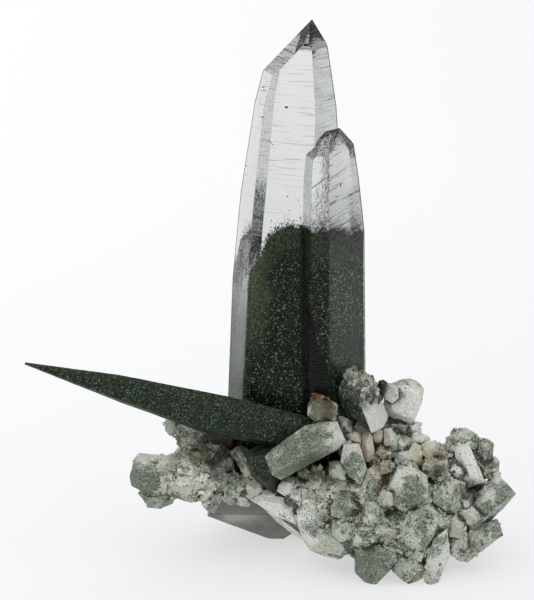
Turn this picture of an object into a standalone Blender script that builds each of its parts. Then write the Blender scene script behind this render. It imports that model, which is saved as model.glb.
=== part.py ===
"""Alpine quartz specimen: a tall clear quartz with a second one grown along its
right side, a long flat quartz blade lying to the left, small green quartzes, and
the jumble of adularia crystals that carries them.

The frame is +Z up with the viewer at -Y. Sizes below are millimetres; the meshes
are scaled to metres when they are made.
"""
import math
import random

import bmesh
import bpy
from mathutils import Matrix, Vector

MM = 0.001
GAP = 0.3           # clearance between a quartz and the socket that it grew in
BLANK = 60.0        # side of the block that a crystal is cleaved from
SEED = 17

# Tall quartz: where its axis meets the ground, how it leans, and its lowest point
MAIN_FOOT = Vector((-5.25, 0.0, 0.0))
MAIN_LEAN = 3.0     # degrees to the right
MAIN_BASE = 12.0
MAIN_APEX = Vector((2.03, -1.2, 98.3))
MAIN_LEVELS = (8, 30, 50, 66, 83, 91)

# Distance of each side face from the axis at the levels above, by the azimuth that
# the face looks to: 0 is towards the viewer, and the angle grows to the right
MAIN_SIDES = {
    -66: (8.96, 8.96, 8.80, 8.10, 6.95, 5.50),
    -38: (9.70, 9.65, 9.05, 8.20, 7.02, 6.20),
    -6: (8.30, 8.30, 8.00, 7.30, 6.20, 5.50),
    54: (9.00, 8.95, 8.50, 7.75, 6.64, 5.45),
    114: (8.60, 8.80, 8.80, 8.40, 6.01, 4.45),
    174: (8.30, 8.10, 7.50, 6.50, 5.10, 4.10),
    -120: (6.87, 7.53, 8.12, 7.66, 5.77, 4.31),
}
MAIN_TIP = {-66: 37.4, -120: 36.4, -6: 49.5, 54: 30.0, 114: 31.0, 174: 40.0}

# Second quartz, grown in parallel and fused to the right of the tall one
SIDE_FOOT = Vector((6.4, -3.6, 0.0))
SIDE_LEAN = 0.0
SIDE_BASE = 19.0
SIDE_APEX = Vector((0.4, -1.4, 79.45))
SIDE_LEVELS = (15, 35, 60, 70, 76)
SIDE_SIDES = {
    -66: (7.55, 7.50, 7.25, 6.90, 6.30),
    -6: (8.35, 8.20, 7.72, 7.00, 6.20),
    54: (3.95, 3.80, 3.29, 2.87, 2.40),
    114: (5.35, 5.33, 5.10, 3.75, 2.70),
    174: (5.40, 5.30, 5.00, 4.30, 3.60),
    -126: (5.00, 5.00, 5.00, 4.60, 4.00),
}
SIDE_TIP = {-66: 66.0, -6: 51.0, 54: 24.6, 114: 41.6, 174: 40.0}
SIDE_SHOULDER = (-62, 42.0, Vector((-4.0, -4.0, 76.2)))     # rounds the left shoulder

# Blade: its root, the climb of its axis to the left, and its outline about the axis
BLADE_ROOT = Vector((5.0, -11.9, 23.9))
BLADE_RISE = 13.5
BLADE_HALF_DEPTH = 2.3
BLADE_THINNING = 1.8    # degrees that the broad faces close in towards the tip
BLADE_BEVEL = 0.75      # how far the narrow faces look to the side
BLADE_TOP = ((0.0, 3.4), (19.0, 3.9), (39.0, 3.3), (55.7, 1.7))
BLADE_FOOT = ((0.0, -3.75), (22.7, -3.75), (37.8, -1.75), (55.7, 1.2))

# Small quartzes: foot, lean to the right, length and half width
TILTED_FOOT = Vector((12.8, -10.4, 26.0))
TILTED_LEAN = -21.0
TILTED_LENGTH = 11.6
TILTED_HALF = 3.1
TILTED_TWIST = 15
TILTED_UNEVEN = 0.12    # how much nearer every second side face is to the axis
TILTED_TIP = {-30: 30, 30: 48, 95: 42, 170: 38, -100: 44}
TILTED_CUT = (-100, -35)    # where the broken foot looks, as azimuth and elevation
WEDGE_POINT = Vector((-4.4, -13.2, 14.3))
WEDGE_LEAN = -15.0
WEDGE_LENGTH = 8.6
WEDGE_HALF = 3.0
WEDGE_TWIST = 20
WEDGE_APEX = Vector((0.3, -0.4, 8.6))
WEDGE_TIP = {-60: 24, 0: 36, 60: 28, 180: 36}
STUB_FOOT = Vector((13.7, -8.0, 29.1))
STUB_LEAN = 14.0
STUB_LENGTH = 5.0
STUB_HALF = 0.72
STUB_TWIST = 10
STUB_TIP = {0: 62, 120: 66, 240: 62}

# Grey quartz at the back left of the underside
BASE_CENTRE = Vector((-7.5, 5.0, 5.8))
BASE_SIZE = Vector((20.0, 16.0, 11.6))
BASE_SLOPE_START = Vector((-5.5, 0.0, 0.0))
BASE_SLOPE = Vector((-0.45, 0.0, -0.89))

# Its other faces: azimuth, elevation and distance from its centre
BASE_FACES = ((0, -30, 6.6), (60, -20, 7.8), (-90, 24, 8.6), (90, 6, 8.0), (180, -14, 7.0),
              (0, 34, 6.6), (-140, -20, 7.8))

# How far the flat-fronted crystals below drop as they run back from their outline,
# and the bevels around their fronts: least and most width, and how far they look out
RUN_BACK = Vector((0.0, 1.0, -0.36))
BEVEL_WIDTHS = (0.5, 1.4)
BEVEL_LEAN = 1.0

# The large flat-fronted adularia crystals: front y, depth, how the front face turns
# to the right and up, then the outline of the front as x and z
SLABS = {
    "front": (-18.5, 7.0, (-0.10, 0.12), ((-6.3, 23.1), (-5.1, 24.4), (-2.1, 26.8), (0.7, 28.9),
              (3.4, 29.6), (6.5, 29.8), (8.2, 25.5), (-0.1, 20.7), (-3.5, 18.8), (-5.1, 19.7))),
    "hanging": (-18.0, 5.0, (0.22, 0.0), ((7.6, 25.4), (10.3, 25.4), (11.0, 23.3), (11.7, 20.7),
                (10.7, 17.7), (8.7, 19.2), (7.1, 22.0))),
    "beige": (-13.5, 4.0, (-0.3, 0.1), ((10.2, 24.5), (12.0, 26.3), (12.9, 25.2), (13.3, 22.2),
              (12.8, 20.3), (11.3, 20.3))),
    "white_mid": (-12.5, 4.0, (0.1, 0.2), ((14.9, 26.2), (16.3, 26.4), (17.6, 24.7), (17.2, 22.2),
                  (16.2, 21.9), (14.9, 23.2))),
    "top_right": (-7.0, 7.0, (-0.1, 0.2), ((15.2, 32.4), (18.3, 33.7), (19.8, 33.9), (21.3, 33.3),
                  (22.3, 31.9), (22.0, 29.6), (20.3, 25.2), (18.0, 25.3), (15.3, 27.3))),
    "brown": (-9.5, 4.0, (0.2, 0.4), ((16.4, 26.1), (19.3, 25.9), (19.1, 24.4), (17.9, 23.8),
              (16.4, 24.6))),
    "grey_right": (-9.0, 6.0, (-0.1, 0.3), ((18.4, 22.3), (19.3, 24.0), (21.1, 24.5), (23.1, 23.6),
                   (23.7, 21.7), (21.0, 19.8), (19.0, 20.8))),
    "grey_next": (-9.5, 6.0, (0.2, 0.3), ((22.6, 22.5), (24.4, 22.9), (25.7, 21.4), (24.8, 19.4),
                  (22.6, 19.8))),
    "standing": (-14.5, 4.5, (-0.05, 0.1), ((27.4, 23.3), (28.1, 24.2), (29.9, 24.3), (31.5, 20.5),
                 (32.9, 17.0), (29.8, 15.8), (27.8, 20.4))),
    "right_prism": (-15.5, 7.5, (-0.25, 0.3), ((33.2, 16.7), (35.2, 18.8), (38.6, 15.0), (36.7, 12.2),
                    (33.0, 8.0), (30.0, 6.0), (28.7, 9.3), (29.5, 12.7))),
    "right_under": (-16.5, 6.0, (0.1, 0.2), ((29.7, 8.5), (35.4, 10.4), (36.3, 7.5), (34.4, 5.9),
                    (31.4, 3.6), (30.2, 4.7))),
    "speckled": (-20.0, 7.0, (0.05, 0.35), ((22.6, 14.6), (25.3, 12.5), (23.3, 7.8), (20.7, 4.0),
                 (17.6, 5.4), (14.6, 8.2), (14.8, 11.2), (18.0, 13.6))),
    "bottom": (-22.0, 8.0, (-0.1, -0.1), ((9.8, 6.9), (13.0, 7.7), (16.3, 7.3), (18.2, 5.6),
               (16.0, 3.1), (15.3, 0.2), (12.5, -0.5), (9.9, 2.3))),
    "pale": (-21.5, 6.0, (0.2, 0.0), ((23.6, 8.6), (26.0, 10.7), (26.6, 5.4), (23.9, -0.6),
             (22.1, 0.6), (22.4, 4.8))),
    "slab_left": (-15.0, 7.0, (-0.15, 0.25), ((-10.0, 13.1), (-6.8, 14.8), (-3.1, 14.2), (0.0, 10.8),
                  (-0.7, 7.8), (-4.5, 10.6), (-8.1, 12.1))),
    "slab_low": (-17.5, 8.0, (-0.15, -0.05), ((-1.1, 11.8), (3.1, 10.8), (9.4, 5.9), (7.3, 3.5),
                 (4.4, 4.0), (1.9, 4.9), (0.5, 6.8))),
    "left_upper": (-12.0, 6.5, (0.05, 0.35), ((-28.8, 21.3), (-21.5, 20.6), (-14.0, 18.8), (-12.7, 16.7),
                   (-13.3, 15.2), (-25.1, 16.0), (-29.7, 18.3), (-29.9, 20.0))),
    "left_middle": (-13.5, 6.0, (0.0, 0.1), ((-24.5, 17.1), (-16.8, 17.3), (-15.0, 16.3), (-16.5, 13.1),
                    (-19.7, 12.7), (-23.6, 14.1))),
    "left_knob": (-13.0, 6.5, (-0.3, 0.1), ((-29.8, 20.2), (-26.8, 20.5), (-23.6, 17.9), (-24.0, 14.4),
                  (-26.5, 13.5), (-30.3, 15.6), (-30.6, 17.5))),
    "left_low": (-12.5, 5.0, (-0.1, -0.1), ((-28.7, 13.9), (-22.2, 14.4), (-23.0, 12.1), (-25.1, 11.0),
                 (-27.5, 11.2))),
    "tooth": (-10.0, 4.0, (0.1, 0.0), ((-18.0, 12.5), (-13.1, 14.1), (-15.5, 9.2), (-16.9, 9.8))),
    "rhomb": (-12.0, 4.0, (0.3, 0.2), ((-12.5, 21.7), (-10.8, 22.8), (-9.2, 22.1), (-7.6, 18.3),
              (-7.7, 16.4), (-9.7, 16.7))),
    "block_mid": (-18.0, 4.5, (-0.2, 0.1), ((11.9, 20.6), (13.0, 20.9), (14.0, 19.0), (13.2, 16.7),
                  (11.8, 15.2), (10.5, 15.9))),
}

# A second face on some of them: the line where it starts, as x and z, and its normal
SECOND_FACES = {
    "front": ((-4.6, 20.4), (7.7, 26.7), Vector((0.30, -0.72, -0.62))),
    "right_prism": ((37.5, 14.6), (29.5, 6.8), Vector((0.62, -0.45, -0.64))),
    "top_right": ((16.2, 32.0), (22.0, 30.6), Vector((0.10, -0.50, 0.86))),
    "standing": ((29.9, 24.0), (32.2, 17.6), Vector((0.90, -0.43, 0.05))),
    "left_middle": ((-17.4, 17.3), (-17.9, 12.9), Vector((0.70, -0.70, 0.1))),
    "bottom": ((9.8, 6.2), (18.2, 5.3), Vector((0.0, -0.55, 0.83))),
    "speckled": ((21.8, 14.0), (17.4, 5.6), Vector((-0.62, -0.75, -0.1))),
    "left_upper": ((-29.0, 18.9), (-13.0, 16.4), Vector((0.0, -0.85, -0.52))),
}

# Faces on a rounded crystal: how many, how far each may turn and where it cuts
LUMP_FACES = 12
LUMP_TURN = 18
LUMP_TILT = 10
LUMP_CUTS = (0.86, 1.02)
GOLDEN_TURN = 137.5

# Faces on a prism or rhomb: how far its ends slant, and the flats along its edges
END_SLANT = {"prism": 0.35, "rhomb": 0.6}
EDGE_FLAT = {"prism": 0.2, "rhomb": 0.34}

# Rounded crystals that stand out: centre x, y, z, then width, depth and height
LUMPS = (
    # the middle of the front
    (8.1, -15.6, 12.9, 5.4, 5.0, 6.6),
    (19.0, -15.8, 15.8, 7.4, 6.6, 8.2),
    (26.5, -14.6, 14.4, 5.4, 5.4, 6.4),
    (27.9, -14.5, 10.6, 3.4, 4.0, 4.4),
    (24.8, -17.0, 10.4, 3.4, 4.4, 3.8),
    (27.9, -15.0, 6.2, 3.8, 5.0, 6.4),
    (1.7, -15.8, 10.6, 4.4, 4.4, 6.6),
    (7.9, -18.0, 9.0, 4.6, 3.6, 2.8),
    (12.7, -18.0, 12.2, 4.4, 4.2, 4.2),
    (15.1, -18.0, 15.0, 2.6, 3.2, 3.4),
    (11.5, -19.2, 7.8, 4.4, 3.6, 3.0),
    (19.4, -19.0, 2.4, 6.0, 5.0, 5.4),
    (4.8, -14.8, 14.6, 3.4, 3.4, 3.4),
    (29.4, -14.6, 3.6, 3.4, 4.0, 3.6),
    # behind and around the front slab
    (3.9, -13.7, 30.1, 5.2, 4.6, 4.6),
    (7.8, -11.8, 26.1, 2.6, 3.0, 3.6),
    (9.2, -12.3, 24.2, 3.2, 3.2, 3.2),
    (6.6, -16.2, 19.8, 3.0, 3.2, 2.4),
    (3.0, -15.2, 17.5, 2.6, 3.2, 4.2),
    (-2.2, -12.3, 15.4, 4.2, 4.0, 3.8),
    (0.5, -13.3, 14.4, 4.2, 4.0, 3.8),
    # beige cluster
    (19.0, -11.2, 20.0, 4.6, 4.0, 3.6),
    (14.8, -11.2, 21.1, 3.2, 3.0, 2.8),
    (15.0, -12.4, 18.6, 3.8, 3.4, 3.2),
    (13.4, -11.8, 19.8, 2.6, 2.8, 2.6),
    (13.9, -11.0, 24.3, 1.8, 2.2, 2.4),
    (16.4, -6.6, 31.0, 2.6, 3.0, 3.2),
    (20.4, -6.0, 24.0, 2.2, 3.0, 2.8),
    (22.7, -9.0, 18.5, 3.8, 3.6, 3.6),
    # right
    (26.6, -8.8, 19.6, 4.4, 4.2, 4.4),
    (29.4, -9.2, 22.9, 5.2, 4.4, 3.4),
    (27.8, -9.0, 22.4, 3.2, 3.4, 2.8),
    (33.1, -9.0, 21.0, 3.4, 4.0, 4.0),
    (33.9, -9.4, 17.8, 3.5, 4.0, 4.0),
    # left of the underside, and the column under the blade
    (-10.8, -9.5, 14.1, 4.4, 4.2, 3.8),
    (-7.9, -10.5, 13.9, 4.4, 4.2, 4.0),
    (-5.4, -11.5, 12.7, 4.4, 4.2, 3.8),
    (-12.3, -8.6, 12.2, 3.4, 3.6, 3.2),
    (-13.3, -8.3, 15.1, 4.0, 3.8, 3.4),
    (-14.0, -8.0, 17.4, 4.0, 3.8, 3.2),
    (-19.9, -9.0, 25.3, 4.6, 4.4, 3.4),
    (-19.8, -8.8, 22.7, 4.4, 4.4, 4.0),
    (-18.7, -8.8, 19.9, 5.0, 4.4, 4.0),
    (-23.0, -9.0, 25.4, 2.4, 3.0, 2.8),
)

# Larger masses inside, which the crystals above grow from: centre, size, turn
CORES = (
    ((9.0, -6.0, 11.0), (30.0, 22.0, 18.0), 4),
    ((15.0, 0.6, 8.0), (27.0, 21.0, 13.4), 3),
    ((-5.0, 0.0, 16.0), (17.0, 17.0, 12.0), -6),
    ((26.5, -7.5, 10.5), (14.5, 15.6, 12.6), 12),
    ((14.0, -3.0, 20.5), (18.0, 14.0, 12.0), -8),
    ((-18.0, -5.5, 17.5), (12.0, 8.0, 7.0), 0),
    ((14.8, -13.0, 7.0), (19.0, 12.0, 8.6), 0),
    ((-15.5, -1.5, 21.5), (10.0, 8.0, 9.5), 0),
    ((30.0, -8.0, 18.0), (9.0, 7.0, 8.0), 0),
)

# Seeded small crystals that fill in between those of the front: height, front y, x
# from and to, how many, and their size
FILL_ROWS = (
    (13.5, -8.5, -14.0, -3.0, 4, 3.6),
    (21.6, -9.6, 8.0, 25.0, 6, 3.3),
    (17.6, -12.6, 0.0, 31.0, 10, 3.6),
    (13.6, -14.6, 3.0, 31.0, 8, 3.8),
    (9.6, -16.6, 6.0, 32.0, 8, 3.8),
    (4.8, -19.0, 11.0, 25.0, 4, 3.6),
)
FILL_FACES = 9

# Seeded crystals that cover the back, which the photograph doesn't show: height,
# x from and to, how many, and their size
BACK_ROWS = (
    (3.4, -6.0, 30.0, 8, 8.2),
    (9.5, -17.0, 33.0, 9, 7.6),
    (15.0, -15.0, 25.0, 8, 7.0),
    (20.0, -12.0, 15.0, 6, 6.0),
    (23.6, -9.0, 11.0, 4, 5.4),
)
BACK_START = -3.0       # y where a row of the back begins and ends
BACK_REACH = 14.0       # y of the middle of a row at the ground
BACK_SLOPE = 0.28       # how much nearer the middle gets with height


def direction(azimuth, elevation=0.0):
    """Unit vector that looks to an azimuth and up by an elevation, in degrees."""
    turn = math.radians(azimuth)
    rise = math.radians(elevation)
    level = math.cos(rise)
    return Vector((math.sin(turn) * level, -math.cos(turn) * level, math.sin(rise)))


def cleave(mesh, point, normal):
    """Cut away what lies outside a plane and close the cut with one flat face."""
    parts = mesh.verts[:] + mesh.edges[:] + mesh.faces[:]
    cut = bmesh.ops.bisect_plane(mesh, geom=parts, dist=1e-5, plane_co=point,
                                 plane_no=normal, clear_outer=True)
    rim = [item for item in cut["geom_cut"] if isinstance(item, bmesh.types.BMEdge)]
    rim = [edge for edge in rim if edge.is_boundary]
    if rim:
        bmesh.ops.edgeloop_fill(mesh, edges=rim)


def rough_box(centre, size):
    """A box in a new mesh, as the blank that faces are cleaved from."""
    mesh = bmesh.new()
    place = Matrix.Translation(centre) @ Matrix.Diagonal((*size, 1.0))
    bmesh.ops.create_cube(mesh, size=1.0, matrix=place)
    return mesh


def prism_planes(sides, levels, grow):
    """Side faces as stacked planes, each a little steeper than the one above."""
    planes = []
    for azimuth, reach in sides.items():
        for low in range(len(levels) - 1):
            rise = levels[low + 1] - levels[low]
            inward = math.degrees(math.atan2(reach[low] - reach[low + 1], rise))
            normal = direction(azimuth, inward)
            point = direction(azimuth) * reach[low] + Vector((0, 0, levels[low]))
            planes.append((point + normal * grow, normal))
    return planes


def quartz(sides, levels, apex, tip, base, grow=0.0):
    """A pointed quartz in its own frame, with its long axis on Z."""
    middle = (base + apex.z) / 2
    mesh = rough_box(Vector((0, 0, middle)), Vector((BLANK, BLANK, apex.z - base + BLANK)))
    for point, normal in prism_planes(sides, levels, grow):
        cleave(mesh, point, normal)
    for azimuth, elevation in tip.items():
        normal = direction(azimuth, elevation)
        cleave(mesh, apex + normal * grow, normal)
    cleave(mesh, Vector((0, 0, base - grow)), Vector((0, 0, -1)))
    return mesh


def leaning(foot, lean):
    """Frame of a crystal whose axis leans to the right, in millimetres."""
    return Matrix.Translation(foot) @ Matrix.Rotation(math.radians(lean), 4, 'Y')


def main_quartz(grow=0.0):
    mesh = quartz(MAIN_SIDES, MAIN_LEVELS, MAIN_APEX, MAIN_TIP, MAIN_BASE, grow)
    mesh.transform(leaning(MAIN_FOOT, MAIN_LEAN))
    return mesh


def side_quartz(grow=0.0):
    mesh = quartz(SIDE_SIDES, SIDE_LEVELS, SIDE_APEX, SIDE_TIP, SIDE_BASE, grow)
    azimuth, elevation, point = SIDE_SHOULDER
    normal = direction(azimuth, elevation)
    cleave(mesh, point + normal * grow, normal)
    mesh.transform(leaning(SIDE_FOOT, SIDE_LEAN))
    return mesh


def blade_quartz(grow=0.0):
    """A flat, tapered quartz whose length runs along -X in its own frame."""
    length = BLADE_TOP[-1][0]
    mesh = rough_box(Vector((-length / 2, 0, 0)), Vector((length + BLANK, BLANK, BLANK)))
    for profile, upward in ((BLADE_TOP, 1), (BLADE_FOOT, -1)):
        for (start, height), (stop, next_height) in zip(profile, profile[1:]):
            run = Vector((start - stop, 0, next_height - height))
            edge = Vector((0, 1, 0)).cross(run).normalized()
            edge = edge if edge.z * upward > 0 else -edge
            corner = Vector((-start, 0, height))
            for side in (-1, 1):
                normal = (edge + Vector((0, side * BLADE_BEVEL, 0))).normalized()
                cleave(mesh, corner + normal * grow, normal)
    thinning = math.radians(BLADE_THINNING)
    for side in (-1, 1):
        normal = Vector((-math.sin(thinning), side * math.cos(thinning), 0))
        cleave(mesh, Vector((0, side * BLADE_HALF_DEPTH, 0)) + normal * grow, normal)
    cleave(mesh, Vector((-length - grow, 0, 0)), Vector((-1, 0, 0)))
    cleave(mesh, Vector((grow, 0, 0)), Vector((1, 0, 0)))
    mesh.transform(leaning(BLADE_ROOT, BLADE_RISE))
    return mesh


def six_sides(twist, half, uneven=0.0):
    """Side faces of a small six-sided quartz that is as thick all along."""
    return {twist + 60 * step: (half * (1.0 + uneven * (-1) ** step),) * 2 for step in range(6)}


def tilted_quartz(grow=0.0):
    sides = six_sides(TILTED_TWIST, TILTED_HALF, TILTED_UNEVEN)
    apex = Vector((0, 0, TILTED_LENGTH))
    mesh = quartz(sides, (0, TILTED_LENGTH), apex, TILTED_TIP, 0.0, grow)
    broken = direction(*TILTED_CUT)
    cleave(mesh, broken * grow, broken)
    mesh.transform(leaning(TILTED_FOOT, TILTED_LEAN))
    return mesh


def wedge_quartz(grow=0.0):
    """The dark green crystal under the blade, whose point looks down."""
    sides = six_sides(WEDGE_TWIST, WEDGE_HALF)
    mesh = quartz(sides, (0, WEDGE_LENGTH), WEDGE_APEX, WEDGE_TIP, 0.0, grow)
    down = Matrix.Rotation(math.radians(180), 4, 'Y')
    lift = Matrix.Translation((0, 0, WEDGE_LENGTH))
    mesh.transform(leaning(WEDGE_POINT, WEDGE_LEAN) @ lift @ down)
    return mesh


def stub_quartz(grow=0.0):
    sides = six_sides(STUB_TWIST, STUB_HALF)
    apex = Vector((0, 0, STUB_LENGTH))
    mesh = quartz(sides, (0, STUB_LENGTH), apex, STUB_TIP, 0.0, grow)
    mesh.transform(leaning(STUB_FOOT, STUB_LEAN))
    return mesh


def base_quartz(grow=0.0):
    """Grey quartz whose flat end is one of the places the specimen stands on."""
    mesh = rough_box(BASE_CENTRE, BASE_SIZE)
    for azimuth, elevation, reach in BASE_FACES:
        normal = direction(azimuth, elevation)
        cleave(mesh, BASE_CENTRE + normal * (reach + grow), normal)
    slope = BASE_SLOPE.normalized()
    cleave(mesh, BASE_SLOPE_START + slope * grow, slope)
    cleave(mesh, Vector((0, 0, BASE_SIZE.z + grow)), Vector((0, 0, 1)))
    cleave(mesh, Vector((0, 0, 0)), Vector((0, 0, -1)))
    return mesh


def chip_edges(mesh, half, amount, rng):
    """Cut a narrow flat along each long edge of a block."""
    for side in (-1, 1):
        for top in (-1, 1):
            normal = Vector((0, side * half.z, top * half.y)).normalized()
            corner = Vector((0, side * half.y, top * half.z))
            cleave(mesh, corner - normal * amount * rng.uniform(0.5, 1.4), normal)


def slant_ends(mesh, half, slope, rng):
    """End each end of a block in two faces, the upper one steeper or the lower one."""
    for end in (-1, 1):
        lift = rng.choice((-1, 1)) * rng.uniform(0.4, 1.0) * slope
        turn = rng.uniform(-0.5, 0.5) * slope
        cleave(mesh, Vector((end * half.x * 0.94, 0, 0)), Vector((end, turn, lift)).normalized())
        corner = Vector((end * half.x, 0, -math.copysign(half.z, lift) * 0.72))
        cleave(mesh, corner, Vector((end, -turn, -lift * 1.6)).normalized())


def block_mesh(size, kind, rng, faces=LUMP_FACES):
    """One adularia crystal in its own frame, its length on X."""
    half = Vector(size) / 2
    mesh = rough_box(Vector((0, 0, 0)), Vector(size))
    if kind in END_SLANT:
        slant_ends(mesh, half, END_SLANT[kind], rng)
        chip_edges(mesh, half, EDGE_FLAT[kind] * min(half.y, half.z), rng)
        return mesh
    for index in range(faces):
        rise = math.degrees(math.asin(1 - 2 * (index + 0.5) / faces))
        azimuth = index * GOLDEN_TURN + rng.uniform(-LUMP_TURN, LUMP_TURN)
        look = direction(azimuth, rise + rng.uniform(-LUMP_TILT, LUMP_TILT))
        reach = Vector((look.x * half.x, look.y * half.y, look.z * half.z)).length
        cleave(mesh, look * reach * rng.uniform(*LUMP_CUTS), look)
    return mesh


def set_in_place(mesh, centre, angle, yaw, roll):
    """Roll about the length, turn about the upright, then tip in the picture plane."""
    turn = Matrix.Rotation(math.radians(-angle), 4, 'Y')
    turn = turn @ Matrix.Rotation(math.radians(yaw), 4, 'Z')
    turn = turn @ Matrix.Rotation(math.radians(roll), 4, 'X')
    mesh.transform(Matrix.Translation(centre) @ turn)


def slab_mesh(front, depth, turn, outline, second, rng):
    """A crystal with a flat, bevelled front of a given outline, which runs back from it."""
    corners = [Vector((x, front, z)) for x, z in outline]
    middle = sum(corners, Vector()) / len(corners)
    look = Vector((turn[0], -1.0, turn[1])).normalized()
    mesh = rough_box(middle, Vector((BLANK, BLANK, BLANK)))
    sides = []
    for corner, following in zip(corners, corners[1:] + corners[:1]):
        side = (following - corner).cross(RUN_BACK).normalized()
        side = side if side.dot(middle - corner) < 0 else -side
        sides.append(((corner + following) / 2, side))
        cleave(mesh, corner, side)
    cleave(mesh, middle, look)
    cleave(mesh, middle + RUN_BACK * depth, RUN_BACK.normalized())
    if second:
        start, end, normal = second
        line = Vector((end[0] - start[0], 0, end[1] - start[1])).normalized()
        normal = (normal - line * normal.dot(line)).normalized()
        cleave(mesh, Vector((start[0], front, start[1])), normal)
    for half_way, side in sides:
        inside = half_way - side * rng.uniform(*BEVEL_WIDTHS)
        slide = (middle - inside).dot(look) / RUN_BACK.dot(look)
        cleave(mesh, inside + RUN_BACK * slide, (side + look * BEVEL_LEAN).normalized())
    return mesh


def front_crystals():
    rng = random.Random(SEED)
    for name, (front, depth, turn, outline) in SLABS.items():
        yield slab_mesh(front, depth, turn, outline, SECOND_FACES.get(name), rng)
    for x, y, z, width, depth, height in LUMPS:
        mesh = block_mesh((width, depth, height), "lump", rng)
        set_in_place(mesh, Vector((x, y, z)), rng.uniform(-12, 12), 0, 0)
        yield mesh


def fill_crystals():
    """Small crystals in the gaps of the front."""
    rng = random.Random(SEED + 3)
    for height, y, start, stop, count, size in FILL_ROWS:
        for step in range(count):
            x = start + (stop - start) * (step + rng.uniform(0.2, 0.8)) / count
            body = [size * rng.uniform(0.8, 1.25) for _ in range(3)]
            place = Vector((x, y + rng.uniform(-0.8, 0.8), height + rng.uniform(-1.4, 1.4)))
            mesh = block_mesh(body, "lump", rng, FILL_FACES)
            set_in_place(mesh, place, rng.uniform(-60, 60), 0, 0)
            yield mesh


def core_masses():
    rng = random.Random(SEED + 1)
    for centre, size, turn in CORES:
        mesh = block_mesh(size, "lump", rng)
        set_in_place(mesh, Vector(centre), 0, turn, 0)
        yield mesh


def back_crystals():
    """Rows of blocks along the back, as on the side that is seen."""
    rng = random.Random(SEED + 2)
    for height, start, stop, count, size in BACK_ROWS:
        for step in range(count):
            along = (step + rng.uniform(0.25, 0.75)) / count
            bow = math.sqrt(max(0.0, 1 - (2 * along - 1) ** 2))
            x = start + (stop - start) * along
            y = BACK_START + (BACK_REACH - BACK_SLOPE * height - BACK_START) * bow
            z = height + rng.uniform(-1.2, 1.2)
            long = size * rng.uniform(0.85, 1.4)
            body = (long, size * rng.uniform(0.7, 1.0), size * rng.uniform(0.6, 0.9))
            kind = rng.choice(("prism", "prism", "rhomb", "lump"))
            mesh = block_mesh(body, kind, rng)
            set_in_place(mesh, Vector((x, y, z)), rng.uniform(-50, 50), rng.uniform(0, 180),
                         rng.uniform(0, 90))
            yield mesh


def collection(name):
    group = bpy.data.collections.new(name)
    bpy.context.scene.collection.children.link(group)
    return group


def to_object(name, mesh, group):
    """A Blender object from a mesh that was modelled in millimetres."""
    bmesh.ops.recalc_face_normals(mesh, faces=mesh.faces[:])
    if mesh.calc_volume(signed=True) < 0:
        bmesh.ops.reverse_faces(mesh, faces=mesh.faces[:])
    mesh.transform(Matrix.Scale(MM, 4))
    data = bpy.data.meshes.new(name)
    mesh.to_mesh(data)
    mesh.free()
    made = bpy.data.objects.new(name, data)
    group.objects.link(made)
    return made


def guide(name, mesh, group):
    """A solid that only joins or cuts another one."""
    made = to_object(name, mesh, group)
    made.hide_render = True
    made.display_type = 'WIRE'
    return made


def boolean(target, operation, other):
    """Join to, or cut from, the target an object or a whole collection."""
    step = target.modifiers.new(operation.lower(), 'BOOLEAN')
    step.operation = operation
    step.solver = 'EXACT'
    if isinstance(other, bpy.types.Collection):
        step.operand_type = 'COLLECTION'
        step.collection = other
    else:
        step.object = other
    return step


def apply_all(target):
    """Replace an object's mesh by what its modifiers make of it."""
    bpy.context.view_layer.update()
    graph = bpy.context.evaluated_depsgraph_get()
    data = bpy.data.meshes.new_from_object(target.evaluated_get(graph))
    target.modifiers.clear()
    target.data = data


def keep_largest_body(target):
    """Drop chips that a cut left loose, and voids that the crystals close in."""
    mesh = bmesh.new()
    mesh.from_mesh(target.data)
    waiting = set(mesh.faces)
    bodies = []
    while waiting:
        front = [waiting.pop()]
        body = []
        while front:
            face = front.pop()
            body.append(face)
            for edge in face.edges:
                for near in edge.link_faces:
                    if near in waiting:
                        waiting.discard(near)
                        front.append(near)
        bodies.append(body)
    bodies.sort(key=lambda body: sum(face.calc_area() for face in body), reverse=True)
    for body in bodies[1:]:
        bmesh.ops.delete(mesh, geom=body, context='FACES')
    mesh.to_mesh(target.data)
    mesh.free()


def material(name, color, roughness):
    made = bpy.data.materials.new(name)
    made.use_nodes = True
    surface = made.node_tree.nodes["Principled BSDF"]
    surface.inputs["Base Color"].default_value = (*color, 1.0)
    surface.inputs["Roughness"].default_value = roughness
    surface.inputs["Metallic"].default_value = 0.0
    made.diffuse_color = (*color, 1.0)
    return made


def build_sockets(sockets):
    """Each quartz grown by the gap, as what cuts its neighbours back from it."""
    makers = (main_quartz, side_quartz, blade_quartz, tilted_quartz, wedge_quartz, stub_quartz,
              base_quartz)
    return {make: guide(f"{make.__name__}_socket", make(GAP), sockets) for make in makers}


def build_quartzes(parts, guides, sockets):
    """The quartz nodes, each cut back from those that grew before it."""
    clear = material("clear_quartz", (0.78, 0.80, 0.78), 0.05)
    green = material("chlorite_quartz", (0.035, 0.05, 0.035), 0.35)
    grey = material("grey_quartz", (0.3, 0.31, 0.29), 0.3)
    pair = to_object("tall_quartz_pair", main_quartz(), parts)
    boolean(pair, 'UNION', guide("side_growth", side_quartz(), guides))
    apply_all(pair)
    pair.data.materials.clear()
    pair.data.materials.append(clear)
    rows = (
        ("quartz_blade", blade_quartz, green),
        ("tilted_quartz", tilted_quartz, clear),
        ("wedge_quartz", wedge_quartz, green),
        ("stub_quartz", stub_quartz, green),
        ("base_quartz", base_quartz, grey),
    )
    earlier = [main_quartz, side_quartz]
    for name, make, look in rows:
        made = to_object(name, make(), parts)
        for before in earlier:
            boolean(made, 'DIFFERENCE', sockets[before])
        apply_all(made)
        made.data.materials.clear()
        made.data.materials.append(look)
        earlier.append(make)


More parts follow.
